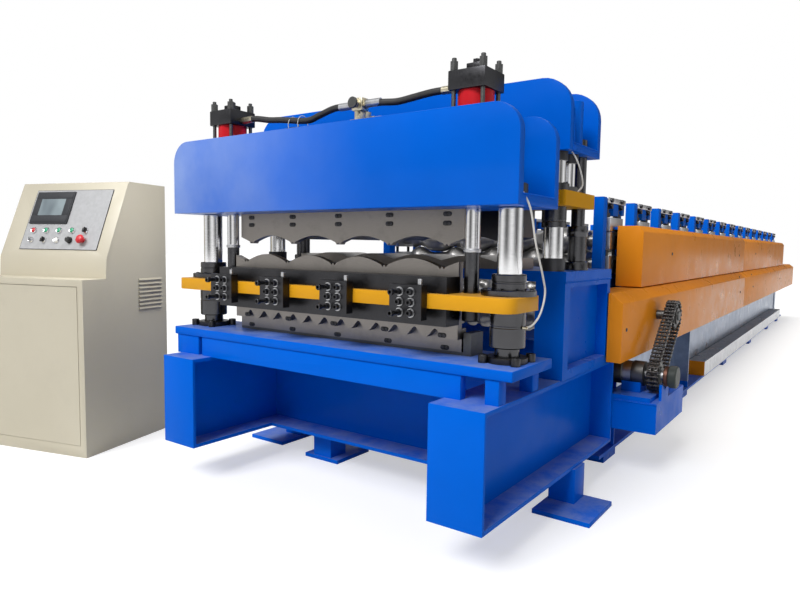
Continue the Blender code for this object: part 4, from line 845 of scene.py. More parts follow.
def surfaces():
    """Finishes of the CAD nodes that stay as they are."""
    clamps = [f"blade_clamp_{i}" for i in (1, 2, 3, 4)]
    beside_plate = [(("Z", PRESS_PLATE_TOP, 1.400),), (("Z", 0.900, 1.0345),)]
    side = [(("X", 0.530, 0.700), ("Y", 1.455, FAR), ("Z", 0.100, 0.440))]
    sheet = [(("Y", TROUGH_END, FAR),)]
    finishes = {
        BLUE: ("shear_base", "shear_bed_plate"),
        HEAD_BLUE: ("shear_crosshead",),
        GREY_STEEL: ("lower_blade_holder",),
        YELLOW: ("shear_moving_plate",),
        ORANGE: GUARDS,
        BLACKENED: ("moving_die_holder", *clamps, "upper_blade_holder", "press_upper_die"),
        TOOL_STEEL: ("upper_fixed_blade", "upper_moving_blade", "press_lower_die"),
        BEIGE: ("cabinet_body", "cabinet_door"),
        PANEL: ("operator_panel",),
        painted_with_steel("press_bed_paint", BLUE_PAINT, [(("Z", 0.826, 1.0),)]): ("press_bed",),
        painted_with_steel("press_head_paint", BLUE_PAINT, [(("Z", 1.10, PRESS_TIE),)]): ("press_crosshead",),
        painted_with_steel("press_plate_paint", YELLOW_PAINT, beside_plate): ("press_moving_plate",),
        painted_with_steel("line_base_paint", BLUE_PAINT, side, SIDE_STEEL): ("line_base",),
        painted_with_steel("trough_sheet", TROUGH_PAINT, sheet, GALVANISED): ("side_trough",),
    }
    for finish, names in finishes.items():
        for name in names:
            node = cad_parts[name]
            node.data.materials.clear()
            node.data.materials.append(finish)


def softened():
    """Main painted nodes with narrow rounded edges, which catch the light as on the real machine."""
    widths = {
        "shear_crosshead": 0.0030, "shear_base": 0.0030, "shear_bed_plate": 0.0025, "press_crosshead": 0.0025,
        "shear_moving_plate": 0.0025, **dict.fromkeys(GUARDS, 0.0045), "cabinet_body": 0.0030,
    }
    corner = math.radians(35.0)
    for name, width in widths.items():
        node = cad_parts[name]
        bm = bmesh.new()
        bm.from_mesh(node.data)
        bmesh.ops.remove_doubles(bm, verts=bm.verts, dist=0.00002)
        bmesh.ops.dissolve_limit(bm, angle_limit=math.radians(1.0), verts=bm.verts, edges=bm.edges)
        sharp = [edge for edge in bm.edges if edge.is_convex and edge.calc_face_angle(0.0) > corner]
        bmesh.ops.bevel(
            bm, geom=sharp, offset=width, segments=2, profile=0.5, affect="EDGES", clamp_overlap=True
        )
        body = "shear_ram" if name == "shear_moving_plate" else "frame"
        finish = node.data.materials[0]
        slot = SLOTS.get(finish, "blue_paint")
        piece(name + "_surface", bm, body, [finish], slot, HERE, 30.0, (name,))


def hardware():
    """Screws of the shear's clamps, blades, columns and sleeves."""
    spots = [(x + column, CLAMP_FACE, z) for x in CLAMP_X for z in SCREW_ROWS for column in SCREW_COLUMNS]
    copies("clamp_washers", washer(0.0100, 0.0136, 0.0016), spots, FRONT, "shear_ram", PLATE_STEEL)
    spots = [(x, y - 0.0012, z) for x, y, z in spots]
    copies("clamp_screws", cap_screw(0.0100, 0.013), spots, FRONT, "shear_ram", SCREW_BLACK)
    jack = bmesh.new()
    bar(jack, "Z", (0, 0, 0), 0.0060, (0.0, 0.036), 14, 0, 0.001)
    bar(jack, "Z", (0, 0, 0), 0.0092, (0.023, 0.036), 18, 0, 0.0012)
    spots = [(x + SCREW_COLUMNS[0], CLAMP_FACE - 0.012, z) for x in CLAMP_X for z in SCREW_ROWS[::2]]
    copies("jack_screws", template("jack", jack), spots, FRONT, "shear_ram", SCREW_BLACK)
    lug = bmesh.new()
    block(lug, (-0.006, 0.006), (-0.004, 0.004), (0.0, 0.018), 0, 0.0012)
    spots = [(x + 0.044, CLAMP_FACE + 0.012, 0.7892) for x in CLAMP_X]
    copies("clamp_lugs", template("lug", lug), spots, UP, "shear_ram", PLATE_STEEL)
    # Thin near-black oblongs on the blades' faces: painted shadow inside the slots that the screws sit in
    slot_shade_mark = bmesh.new()
    prism(slot_shade_mark, oblong(SLOT_LENGTH / 2 - SLOT_WIDTH / 2, SLOT_WIDTH / 2, 8), HERE, 0.0006)
    slot_shade_mark = template("slot", slot_shade_mark)
    small = cap_screw(0.0058, 0.0022)
    middles = [TILE_PITCH * i for i in range(-2, 3)]
    upper, lower = SLOT_LEVELS
    levels = (upper + SLOT_STEP / 2, upper - SLOT_STEP / 2, lower - SLOT_STEP / 2)
    fixed = [(x, FIXED_BLADE_SHOWN, z) for x in middles for z in levels]
    moving = [(x + 0.005, MOVING_BLADE_BACK - BLADE_THICK, RIB_BLADE_BOTTOM + 0.010) for x in middles]
    for body, spots in (("frame", fixed), ("shear_ram", moving)):
        copies("blade_slots_" + body, slot_shade_mark, spots, FRONT, body, PAINTED_SLOT_SHADE)
        spots = [(x + step * SLOT_SCREW, y, z) for x, y, z in spots for step in SIDES]
        copies("blade_screws_" + body, small, spots, FRONT, body, SCREW_BLACK)
    reach = (-COLUMN_SCREW, COLUMN_SCREW)
    spots = [(side * COLUMN_X + x, COLUMN_Y + y, BED_TOP) for side in SIDES for x in reach for y in reach]
    copies("column_foot_screws", cap_screw(0.0140, 0.024), spots, UP, "frame", SCREW_BLACK)
    ring = circle((0.0, COLUMN_Y), SLEEVE_SCREWS_R, 30, 330, 5)
    spots = [(side * COLUMN_X + x, y, SLEEVE_SCREWS_Z) for side in SIDES for x, y in ring]
    copies("sleeve_screws", cap_screw(0.0065, 0.003), spots, UP, "shear_ram", SCREW_BLACK)
    spots = [(side * x, y, TIE_TOP) for side in SIDES for x in (0.30, 0.46) for y in (0.075, 0.185)]
    copies("holder_bolts", hex_nut(0.0120, 0.010, 0.006), spots, UP, "frame", ZINC)


def solid(radius, low, high):
    """Profile of a plain round bar."""
    return [(0.0, high), (radius, high), (radius, low), (0.0, low)]


def guides():
    """Chrome columns, rods and posts of shear and step press, with their dark feet, nuts and sleeves."""
    column = (COLUMN_X, COLUMN_Y)
    rod = (ROD_X, COLUMN_Y)
    foot_r, foot_low, foot_high = COLUMN_FOOT
    inner = COLUMN_R + 0.0004
    flange = SLEEVE_SEAT + 0.017
    groove = SLEEVE_NECK_R - 0.0015
    low_groove = SLEEVE_R - 0.0012
    foot = [
        (COLUMN_R, foot_low), (foot_r, foot_low), (foot_r, foot_high - 0.002), (foot_r - 0.002, foot_high),
        (COLUMN_R + 0.0015, foot_high),
    ]
    nut = [(0.0, 1.081), (0.040, 1.081), (0.046, 1.077), (0.046, TIE_TOP + 0.0005), (0.0, TIE_TOP + 0.0005)]
    sleeve = [
        (inner, SLEEVE_TOP), (0.0475, SLEEVE_TOP), (SLEEVE_NECK_R, SLEEVE_TOP - 0.003),
        (SLEEVE_NECK_R, 0.8050), (groove, 0.8035), (groove, 0.8000), (SLEEVE_NECK_R, 0.7985),
        (SLEEVE_NECK_R, flange),
        (SLEEVE_FLANGE_R - 0.002, flange), (SLEEVE_FLANGE_R, flange - 0.002), (SLEEVE_FLANGE_R, SLEEVE_SEAT),
        (SLEEVE_R, SLEEVE_SEAT), (SLEEVE_R, 0.6800), (low_groove, 0.6785), (low_groove, 0.6740),
        (SLEEVE_R, 0.6725),
        (SLEEVE_R, SLEEVE_BOTTOM + 0.003), (SLEEVE_R - 0.003, SLEEVE_BOTTOM), (inner, SLEEVE_BOTTOM),
    ]
    rod_ring = [
        (ROD_R, 0.895), (0.0255, 0.8945), (0.026, 0.893), (0.026, 0.886), (0.0255, 0.8845), (ROD_R, 0.884),
    ]
    rod_nut = [
        (0.0, 0.7217), (0.027, 0.7217), (0.027, ROD_BOTTOM + 0.002), (0.025, ROD_BOTTOM), (0.0, ROD_BOTTOM),
    ]
    press_foot = [(0.0335, 0.867), (0.0370, 0.867), (0.0390, 0.865), (0.0390, PRESS_BED), (0.0335, PRESS_BED)]
    collar = [(0.0335, PRESS_TIE), (0.038, PRESS_TIE), (0.038, 1.182), (0.036, 1.180), (0.0335, 1.180)]
    press_flange = [
        (0.0336, 1.1075), (0.0440, 1.1075), (0.0455, 1.1060), (0.0455, PRESS_PLATE_TOP),
        (0.0336, PRESS_PLATE_TOP),
    ]
    press_sleeve = [
        (0.0336, 1.0340), (0.0396, 1.0340), (0.0396, 0.990), (0.0385, 0.9885), (0.0385, 0.9850),
        (0.0396, 0.9835), (0.0396, 0.9690), (0.0376, 0.9667), (0.0336, 0.9667),
    ]
    post = [(0.0, 1.270), (0.021, 1.270), (0.023, 1.268), (0.023, 0.882), (0.021, 0.880), (0.0, 0.880)]
    bush = [
        (0.0236, 0.9756), (0.0340, 0.9756), (0.0346, 0.9745), (0.0346, 0.9415), (0.0340, 0.9404),
        (0.0306, 0.9404), (0.0306, 0.8560), (0.0390, 0.8530), (0.0400, 0.8500), (0.0400, 0.8256),
        (0.0236, 0.8256),
    ]
    seat = [(0.0206, 1.104), (0.028, 1.104), (0.031, 1.100), (0.031, 1.0836), (0.0206, 1.0836)]
    gland = [(0.0212, PRESS_TIE), (0.0300, PRESS_TIE), (0.0300, 1.181), (0.0284, 1.1795), (0.0212, 1.1795)]
    pieces = (
        ("column", column, "frame", CHROME, solid(COLUMN_R, COLUMN_ROOT, COLUMN_TOP)),
        ("column_root", column, "frame", SLEEVE_STEEL, solid(COLUMN_R, foot_high, COLUMN_ROOT)),
        ("column_foot", column, "frame", BLACKENED, foot),
        ("column_nut", column, "frame", BLACKENED, nut),
        ("sleeve", column, "shear_ram", SLEEVE_STEEL, sleeve),
        ("rod", rod, "shear_ram", CHROME, solid(ROD_R, ROD_NECK, ROD_TOP)),
        ("rod_neck", rod, "shear_ram", SLEEVE_STEEL, solid(ROD_R, ROD_BOTTOM + 0.004, ROD_NECK)),
        ("rod_ring", rod, "shear_ram", PLATE_STEEL, rod_ring),
        ("rod_nut", rod, "shear_ram", BLACKENED, rod_nut),
        ("press_guide", PRESS_COLUMN, "frame", CHROME, solid(0.033, PRESS_BED, PRESS_TIE)),
        ("press_guide_foot", PRESS_COLUMN, "frame", BLACKENED, press_foot),
        ("press_guide_collar", PRESS_COLUMN, "frame", BLACKENED, collar),
        ("press_sleeve_flange", PRESS_COLUMN, "press_ram", SLEEVE_STEEL, press_flange),
        ("press_sleeve", PRESS_COLUMN, "press_ram", SLEEVE_STEEL, press_sleeve),
        ("press_rear_post", PRESS_POST, "press_ram", SLEEVE_STEEL, post),
        ("press_bush", PRESS_POST, "frame", SLEEVE_STEEL, bush),
        ("press_rod", PRESS_ROD, "press_ram", CHROME, solid(0.0206, 1.1000, 1.290)),
        ("press_rod_seat", PRESS_ROD, "press_ram", GREY_STEEL, seat),
        ("press_gland", PRESS_ROD, "frame", BLACKENED, gland),
    )
    nodes = {
        "column": "shear_column_", "sleeve": "shear_sleeve_", "rod": "shear_rod_",
        "press_guide": "press_column_", "press_rear_post": "press_post_",
    }
    for label, side in (("left", -1), ("right", 1)):
        for name, (x, y), body, finish, profile in pieces:
            bm = bmesh.new()
            lathe(bm, profile, Matrix.Translation((side * x, y, 0.0)), 56)
            slot = "chrome_steel" if name == "press_rear_post" else None
            replaces = (nodes[name] + label,) if name in nodes else ()
            piece(f"{name}_{label}", bm, body, [finish], slot, sharp=32.0, replaces=replaces)


def rib_outline(bottom, apex, half, foot):
    """Lower deck blade seen from the front: straight top or foot, and a rounded peak at each rib."""
    edge = [(-BLADE_HALF, bottom)]
    first = -RIB_PITCH * (RIB_NOTCHES - 1) / 2
    rises = ((1.0, 0.0), (0.72, 0.24), (0.30, 0.78), (0.12, 0.98))
    for i in range(RIB_NOTCHES):
        x = first + RIB_PITCH * i
        edge += [(x - half * out, bottom + apex * up) for out, up in rises]
        edge += [(x + half * out, bottom + apex * up) for out, up in rises[::-1]]
    return edge + [(BLADE_HALF, bottom), (BLADE_HALF, foot), (-BLADE_HALF, foot)]


def rib_blades():
    """Ribbed blades of the lower deck: the fixed one's ribs show through the moving one's notches."""
    moving = rib_outline(RIB_BLADE_BOTTOM, RIB_BLADE_RISE, 0.0310, RIB_BLADE_TOP)
    fixed = rib_outline(RIB_FIXED_TOP, RIB_FIXED_RISE, 0.0260, RIB_FIXED_BOTTOM)
    for name, outline, face, body, node in (
        ("rib_blade", moving, MOVING_BLADE_BACK - BLADE_THICK, "shear_ram", "lower_moving_blade"),
        ("rib_blade_fixed", fixed, FIXED_BLADE_SHOWN, "frame", "lower_fixed_blade"),
    ):
        bm = bmesh.new()
        prism(bm, outline, Matrix.Translation((0, face, 0)) @ ACROSS_Y, BLADE_THICK)
        piece(name, bm, body, [TOOL_STEEL], replaces=(node,))


def about(middle, half):
    return (middle - half, middle + half)


def barrel(side_name, side):
    """Tie-rod cylinder: red barrel between a square foot and a black square head."""
    bm = bmesh.new()
    x, y = side * ROD_X, COLUMN_Y
    half = HEAD_BLOCK / 2
    wide = (about(x, half), about(y, half))
    bar(bm, "Z", (x, y, 0), BARREL_R - 0.003, (TIE_TOP, BARREL_TOP + 0.002), 40, 0)
    block(bm, *wide, (TIE_TOP + SKIN, TIE_TOP + 0.030), 1, 0.003)
    block(bm, *wide, (BARREL_TOP, HEAD_BLOCK_TOP), 1, 0.003)
    block(bm, about(x, 0.022), about(y, 0.022), (HEAD_BLOCK_TOP - 0.001, 1.424), 1, 0.002)
    bar(bm, "Z", (x, y, 0), 0.012, (1.423, 1.437), 6, 4)
    for dx in SIDES:
        for dy in SIDES:
            rod = (x + dx * TIE_ROD_REACH, y + dy * TIE_ROD_REACH, 0)
            bar(bm, "Z", rod, 0.0065, (TIE_TOP + 0.028, BARREL_TOP + 0.002), 14, 2)
            bar(bm, "Z", rod, 0.0125, (HEAD_BLOCK_TOP - 0.001, HEAD_BLOCK_TOP + 0.026), 6, 2)
            bar(bm, "Z", rod, 0.0070, (HEAD_BLOCK_TOP + 0.025, HEAD_BLOCK_TOP + 0.036), 12, 2, 0.001)
    upper, lower = (0, y, PORT_Z), (0, LOW_PORT_Y, LOW_PORT_Z)
    reach = x - side * half
    for centre, radius, near, far, sides, edge in (
        (upper, 0.0135, -0.001, 0.014, 6, 0.0), (upper, 0.0125, 0.013, 0.055, 20, 0.002),
        (lower, 0.0105, 0.0, 0.012, 6, 0.0), (lower, 0.0095, 0.011, 0.036, 18, 0.002),
    ):
        bar(bm, "X", centre, radius, (reach - side * near, reach - side * far), sides, 3, edge)
    finishes = [RED, BLACKENED, GREY_STEEL, ZINC, BLACKENED]
    piece("shear_barrel_" + side_name, bm, "frame", finishes, replaces=("shear_cylinder_" + side_name,))


def manifold():
    """Tee of zinc-plated fittings on a bracket between the crosshead's plates."""
    bm = bmesh.new()
    y = COLUMN_Y
    bridge = (HEAD_PLATE + SKIN, HEAD_BACK - HEAD_PLATE - SKIN)
    block(bm, about(TEE_X, 0.035), bridge, (HEAD_TOP - 0.015, HEAD_TOP - 0.001), 0, 0.002)
    block(bm, about(TEE_X, 0.012), about(y, 0.016), (HEAD_TOP - 0.002, 1.338), 1, 0.003)
    block(bm, about(TEE_X, 0.022), about(y, 0.019), (1.336, 1.378), 1, 0.004)
    block(bm, about(TEE_X, 0.013), (y + 0.014, y + 0.044), (1.298, 1.340), 1, 0.003)
    upper, lower = (0, y, TEE_Z), (0, RETURN_Y, RETURN_Z)
    for toward in SIDES:
        for centre, near, far, radius, sides, index, edge in (
            (upper, 0.021, 0.030, 0.0165, 6, 1, 0.001), (upper, 0.029, 0.042, 0.0130, 20, 2, 0.001),
            (upper, 0.040, 0.086, 0.0128, 20, 2, 0.001), (lower, 0.010, 0.036, 0.0115, 6, 1, 0.0),
            (lower, 0.035, 0.066, 0.0095, 18, 2, 0.002),
        ):
            bar(bm, "X", centre, radius, (TEE_X + toward * near, TEE_X + toward * far), sides, index, edge)
    bar(bm, "Y", (TEE_X, 0, TEE_Z), 0.0150, (y - 0.036, y - 0.018), 6, 1)
    bar(bm, "Y", (TEE_X, 0, TEE_Z), 0.0185, (y - 0.044, y - 0.035), 24, 3, 0.002)
    finishes = [BLUE, ZINC, PLATE_STEEL, GREY_STEEL]
    piece("hydraulic_manifold", bm, "frame", finishes, "tool_steel", replaces=("hydraulic_tee",))


def hoses():
    """Pressure hoses between the tee and the cylinders, with thinner return hoses behind them."""
    y = COLUMN_Y
    end = ROD_X - HEAD_BLOCK / 2
    left = [
        (-end, y, PORT_Z), (-0.400, y, PORT_Z), (-0.330, 0.126, 1.352), (-0.270, 0.130, 1.347),
        (-0.148, 0.132, 1.333), (-0.080, 0.128, 1.345), (-0.010, y, TEE_Z), (TEE_X - 0.04, y, TEE_Z),
    ]
    right = [
        (TEE_X + 0.04, y, TEE_Z), (0.195, y, 1.355), (0.250, 0.126, 1.352), (0.315, 0.126, 1.358),
        (0.385, y, PORT_Z), (end, y, PORT_Z),
    ]
    tube("pressure_hose_left", left, HOSE_R, HOSE, replaces=("hydraulic_hose_left",))
    tube("pressure_hose_right", right, HOSE_R, HOSE, replaces=("hydraulic_hose_right",))
    back = RETURN_Y
    near = back - 0.006
    left = [
        (TEE_X - 0.05, back, RETURN_Z), (0.000, back, 1.311), (-0.080, back - 0.004, 1.308),
        (-0.170, near, 1.310), (-0.260, near, 1.312), (-0.330, near, 1.296), (-0.380, near, 1.245),
        (-0.398, back - 0.004, 1.170),
        (-0.412, back - 0.010, 1.115), (-0.436, LOW_PORT_Y, LOW_PORT_Z), (-end, LOW_PORT_Y, LOW_PORT_Z),
    ]
    right = [
        (TEE_X + 0.05, back, RETURN_Z), (0.200, back, 1.310), (0.270, back - 0.004, 1.300),
        (0.330, near, 1.268), (0.370, near, 1.215), (0.396, near, 1.150), (0.415, back - 0.010, 1.108),
        (0.438, LOW_PORT_Y, LOW_PORT_Z), (end, LOW_PORT_Y, LOW_PORT_Z),
    ]
    tube("return_hose_left", left, LOW_HOSE_R, HOSE)
    tube("return_hose_right", right, LOW_HOSE_R, HOSE)
    for i, x in enumerate((-0.222, -0.176), 1):
        loop = [
            (x + 0.002 * math.cos(t), 0.140 + 0.024 * math.cos(t), 1.3235 + 0.0300 * math.sin(t))
            for t in [math.radians(30 * step) for step in range(13)]
        ]
        tube(f"hose_tie_{i}", loop, TIE_R, NYLON, sides=3)


def lubrication():
    """Thin nylon tubes from the crossheads to the sleeves that they grease."""
    drop = [
        (0.722, 0.045, 1.048), (0.738, 0.062, 1.000), (0.744, 0.088, 0.910), (0.745, 0.140, 0.820),
        (0.742, 0.165, 0.770), (0.736, 0.150, 0.715), (0.724, 0.125, 0.684), (0.703, GREASE_Y, GREASE_Z),
    ]
    line = bending_tube("grease_tube_shear", drop, GREASE_TUBE_R, NYLON)
    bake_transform(line)
    bm = bmesh.new()
    bar(bm, "X", (0, GREASE_Y, GREASE_Z), 0.0045, (0.7015, 0.712), 6)
    bar(bm, "X", (0, GREASE_Y, GREASE_Z), 0.0032, (0.711, 0.716), 12, 0, 0.0008)
    piece("grease_fitting", bm, "shear_ram", [ZINC])
    drop = [
        (0.690, 0.470, 1.208), (0.705, 0.476, 1.180), (0.712, 0.500, 1.140), (0.710, 0.520, 1.105),
        (0.692, 0.530, 1.086),
    ]
    line = bending_tube("grease_tube_press", drop, PRESS_TUBE_R, NYLON)
    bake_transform(line)


def press():
    """Bolts, grease points and weld beads of the step press."""
    spots = [(0.676, 0.3998, z) for z in (1.044, 1.053, 1.062, 1.071)]
    nub = bmesh.new()
    lathe(nub, [(0.0034, 0.0), (0.0034, 0.002), (0.002, 0.0045), (0.0, 0.005)], HERE, 12)
    copies("grease_nipples", template("nub", nub), spots, FRONT, "press_ram", PLATE_STEEL)
    column_x, column_y = PRESS_COLUMN
    spots = [(side * column_x + x, column_y, 1.1078) for side in SIDES for x in (-0.039, 0.039)]
    copies("press_sleeve_screws", cap_screw(0.004, 0.005), spots, UP, "press_ram", SCREW_BLACK)
    edges = {
        "weld_press_head": [(0.700, 0.4555, 1.212), (0.700, 0.4555, 1.340)],
        "weld_press_tie": [(0.7005, 0.4535, 1.2345), (0.7005, 0.6775, 1.2345)],
        "weld_shear_tie": [(0.7305, 0.031, 1.0425), (0.7305, 0.238, 1.0425)],
        "weld_shear_head": [(-0.7305, 0.031, 1.0425), (-0.7305, 0.238, 1.0425)],
        "weld_leg": [(0.7003, 0.432, 0.7895), (0.7003, 0.887, 0.7895)],
        "weld_bracket": [(0.642, 0.9945, 0.305), (0.858, 0.9945, 0.305)],
    }
    for name, points in edges.items():
        weld(name, points)


def stand_row(name, bm, finish, replaces=()):
    """The same form at every stand of the line."""
    first, step = (0.0, FIRST_STAND, 0.0), (0.0, STAND_PITCH, 0.0)
    row(name, template(name + "_one", bm), STAND_COUNT, first, step, finish, replaces=replaces)


def across(side, inner, outer):
    return (side * inner, side * outer)


def stands():
    """Side frames of every stand: posts, yoke, bearing blocks and studs, on two long rails."""
    posts = bmesh.new()
    bearings = bmesh.new()
    studs = bmesh.new()
    for side in SIDES:
        for bm, blocks, edge in ((posts, POST_BLOCKS, 0.002), (bearings, BEARING_BLOCKS, 0.003)):
            for inner, outer, front, back, low, high in blocks:
                block(bm, across(side, inner, outer), (front, back), (low, high), 0, edge)
        for y in (-0.045, 0.055):
            for z in (0.8700, 0.6060):
                bar(studs, "Z", (side * STUD_X, y, 0), 0.0075, (z - 0.001, z + 0.031), 12)
        for y in (-0.060, 0.082):
            bar(studs, "X", (0, y, 1.1075), 0.0100, across(side, 0.577, 0.587), 18, 0, 0.0015)
            bar(studs, "X", (0, y, 1.0820), 0.0110, across(side, 0.560, 0.586), 18, 0, 0.0015)
            bar(studs, "Z", (side * JACK_X, y, 0), 0.0100, (1.0340, 1.0960), 14)
            for span in ((1.0700, 1.0950), (1.0352, 1.0540)):
                bar(studs, "Z", (side * JACK_X, y, 0), 0.0170, span, 6)
        for deck in (LOWER_DECK, UPPER_DECK):
            for z in about(deck, SHAFT_RISE):
                bar(studs, "X", (0, 0, z), 0.0240, across(side, 0.5815, 0.5860), 20, 0, 0.002)
    stand_row("stand_frames", posts, BLUE, ("roll_stands",))
    stand_row("stand_bearings", bearings, PLATE_STEEL)
    stand_row("stand_studs", studs, SCREW_BLACK)
    bm = bmesh.new()
    last = FIRST_STAND + (STAND_COUNT - 1) * STAND_PITCH
    for side in SIDES:
        span = (FIRST_STAND - RAIL_REACH, last + RAIL_REACH)
        block(bm, across(side, 0.508, 0.588), span, (LINE_BEAM_TOP + SKIN, RAIL_TOP + SKIN), 0, 0.002)
    piece("stand_rails", bm, "frame", [BLUE])
    bm = bmesh.new()
    for i in ARM_STANDS:
        y = FIRST_STAND + STAND_PITCH * i
        block(bm, (0.5725, 0.660), about(y, 0.015), (0.9837, 0.9957), 0, 0.002)
        block(bm, (0.5725, 0.579), about(y, 0.030), (0.9600, 0.9985), 0, 0.002)
    piece("guard_arms", bm, "frame", [BLUE])


def roll_outline(form):
    """Radius and place along the roll, from end to end, closed at its shaft."""
    middle = [(ROLL_R + form(x), x) for x in FORM_PLACES]
    start = [(0.0, -SHAFT_HALF), (SHAFT_R, -SHAFT_HALF), (SHAFT_R, -ROLL_HALF)]
    return start + middle + [(radius, -place) for radius, place in start[::-1]]


def tile_wave(x):
    """Tile section between -1 and 1: flat pans with a rounded crown between them."""
    turn = 2 * math.pi * x / TILE_PITCH
    return math.cos(turn) * 0.72 + math.cos(2 * turn) * 0.20


def rib(x):
    """Trapezoid ribs between 0 and 1 of the lower deck's panel."""
    share = (x / RIB_PITCH) % 1.0
    return min(1.0, max(0.0, 3.5 - abs(share - 0.5) * 12.0))


def rolls(name, deck, section, depths):
    """Pairs of forming rolls, whose section deepens from the far stand towards the shear."""
    bm = bmesh.new()
    shallow, deep = depths
    for i in range(STAND_COUNT):
        height = deep + (shallow - deep) * i / (STAND_COUNT - 1)
        for side in SIDES:
            profile = roll_outline(lambda x: -side * height * section(x))
            place = (0, FIRST_STAND + STAND_PITCH * i, deck + side * SHAFT_RISE)
            lathe(bm, profile, Matrix.Translation(place) @ ALONG["X"], 28)
    piece(name, bm, "frame", [ROLL_STEEL], sharp=50.0)


def chain():
    """Duplex roller chain round both sprockets, each link a copy along the path."""
    (y1, z1), (y2, z2) = LOWER_WHEEL, UPPER_WHEEL
    lean = math.degrees(math.atan2(z2 - z1, y2 - y1))
    loop = circle(LOWER_WHEEL, CHAIN_R, lean + 90, lean + 270, 24)
    loop += circle(UPPER_WHEEL, CHAIN_R, lean - 90, lean + 90, 24)
    pitch = (2 * math.hypot(y2 - y1, z2 - z1) + 2 * math.pi * CHAIN_R) / CHAIN_LINKS
    outline = oblong(pitch / 2, 0.0074, 6)
    kinds = []
    for kind, offset in (("inner", 0.0058), ("outer", 0.0084)):
        bm = bmesh.new()
        for strand in STRANDS:
            for side in SIDES:
                place = Matrix.Translation((strand + side * offset - 0.0009, 0, 0))
                prism(bm, outline, place @ ACROSS_X, 0.0018)
        bar(bm, "X", (0, pitch / 2, 0), 0.0055, (-0.0168, 0.0168), 12)
        bar(bm, "X", (0, pitch / 2, 0), 0.0032, (-0.0236, 0.0236), 10)
        kinds.append(template(kind + "_link", bm))
    source = path_object("chain_path", [(CHAIN_X, y, z) for y, z in loop], cyclic=True)
    inner, outer = kinds
    inputs = {"Inner link": inner, "Outer link": outer, "Link count": CHAIN_LINKS, "Finish": CHAIN_STEEL}
    mesh = grown(source, LINKS, inputs)
    shown("roller_chain", mesh, "frame", [CHAIN_STEEL], replaces=("drive_chain",))


def toothed(bm, wheel):
    """Two toothed discs of a duplex sprocket with their hub."""
    step = math.radians(360 / WHEEL_TEETH)
    tooth = (
        (-0.50, WHEEL_ROOT), (-0.30, WHEEL_ROOT), (-0.12, WHEEL_TIP), (0.12, WHEEL_TIP), (0.30, WHEEL_ROOT),
    )
    outline = []
    for i in range(WHEEL_TEETH):
        for offset, radius in tooth:
            turn = (i + offset) * step
            outline.append((wheel[0] + radius * math.cos(turn), wheel[1] + radius * math.sin(turn)))
    for strand in STRANDS:
        prism(bm, outline, Matrix.Translation((CHAIN_X + strand - 0.004, 0, 0)) @ ACROSS_X, 0.008)
    bar(bm, "X", (0, *wheel), 0.036, about(CHAIN_X, 0.022), 28, 0, 0.002)


def drive():
    """Reducer with coupling and flange, both sprockets, the chain, and the guards' screws."""
    bm = bmesh.new()
    y, z = LOWER_WHEEL
    for radius, span, sides, index, edge in (
        (REDUCER_R, (REDUCER_INNER + SKIN, 0.700), 36, 0, 0.003), (0.0465, (0.699, 0.735), 36, 1, 0.002),
        (REDUCER_R, (0.734, 0.786), 36, 0, 0.004), (0.020, (0.780, 0.900), 20, 1, 0.0),
        (0.040, (0.8565, 0.874), 36, 2, 0.003), (0.0440, (0.873, REDUCER_END), 36, 3, 0.004),
    ):
        bar(bm, "X", (0, y, z), radius, span, sides, index, edge)
    toothed(bm, LOWER_WHEEL)
    for spot in circle(LOWER_WHEEL, 0.033, 20, 320, 5):
        bar(bm, "X", (0, *spot), 0.0048, (REDUCER_END - 0.004, REDUCER_END - 0.0002), 6)
    finishes = [GREY_STEEL, PLATE_STEEL, COPPER, GREEN_STEEL]
    piece("reducer_output", bm, "frame", finishes, replaces=("drive_reducer",))
    bm = bmesh.new()
    toothed(bm, UPPER_WHEEL)
    bar(bm, "X", (0, *UPPER_WHEEL), 0.0200, (0.7575, 0.850), 20, 1, 0.002)
    bar(bm, "X", (0, *UPPER_WHEEL), 0.0050, (0.848, 0.8503), 12)
    piece("deck_sprocket", bm, "frame", [CHAIN_STEEL, GREY_STEEL], replaces=("upper_sprocket",))
    chain()
    spots = [(0.757, y, z) for y, z in LOWER_GUARD_SCREWS] + [(0.710, y, z) for y, z in UPPER_GUARD_SCREWS]
    dome = bmesh.new()
    lathe(dome, [(0.0075, 0.0), (0.0075, 0.001), (0.0055, 0.0036), (0.0, 0.0044)], HERE, 16)
    copies("guard_screws", template("dome", dome), spots, RIGHT, "frame", SCREW_BLACK)


def control(name, ending, bm, column, up, finishes, slot=None):
    """The moving part of a control, on its own body."""
    place = SLOPE @ Matrix.Translation((FIRST_CONTROL + CONTROL_PITCH * column, up, PANEL_TOP))
    piece(name + ending, bm, name, finishes, slot, place, replaces=(name,))


def stemmed(profile, segments=28, end=STEM_END):
    """Turned cap on a stem that reaches into the panel."""
    bm = bmesh.new()
    lathe(bm, [*profile, (STEM_R, end), (0.0, end)], HERE, segments)
    return bm


def button(name, column, up, finish):
    cap = [(0.0, 0.0088), (0.0080, 0.0090), (0.0100, 0.0080), (0.0105, 0.0052), (STEM_R, 0.0050)]
    control(name, "_cap", stemmed(cap), column, up, [finish])


def selector(name, column, up):
    """Black turning switch with a raised grip and a white mark."""
    bm = stemmed([(0.0, 0.010), (0.0085, 0.010), (0.0100, 0.0085), (0.0105, 0.0012), (STEM_R, 0.0010)])
    block(bm, (-0.0038, 0.0038), (-0.0115, 0.0115), (0.0085, 0.0195), 0, 0.0012)
    block(bm, (-0.0008, 0.0008), (0.0040, 0.0112), (0.0190, 0.0199), 1)
    control(name, "_switch", bm, column, up, [BLACK_PLASTIC, WHITE_PLASTIC])


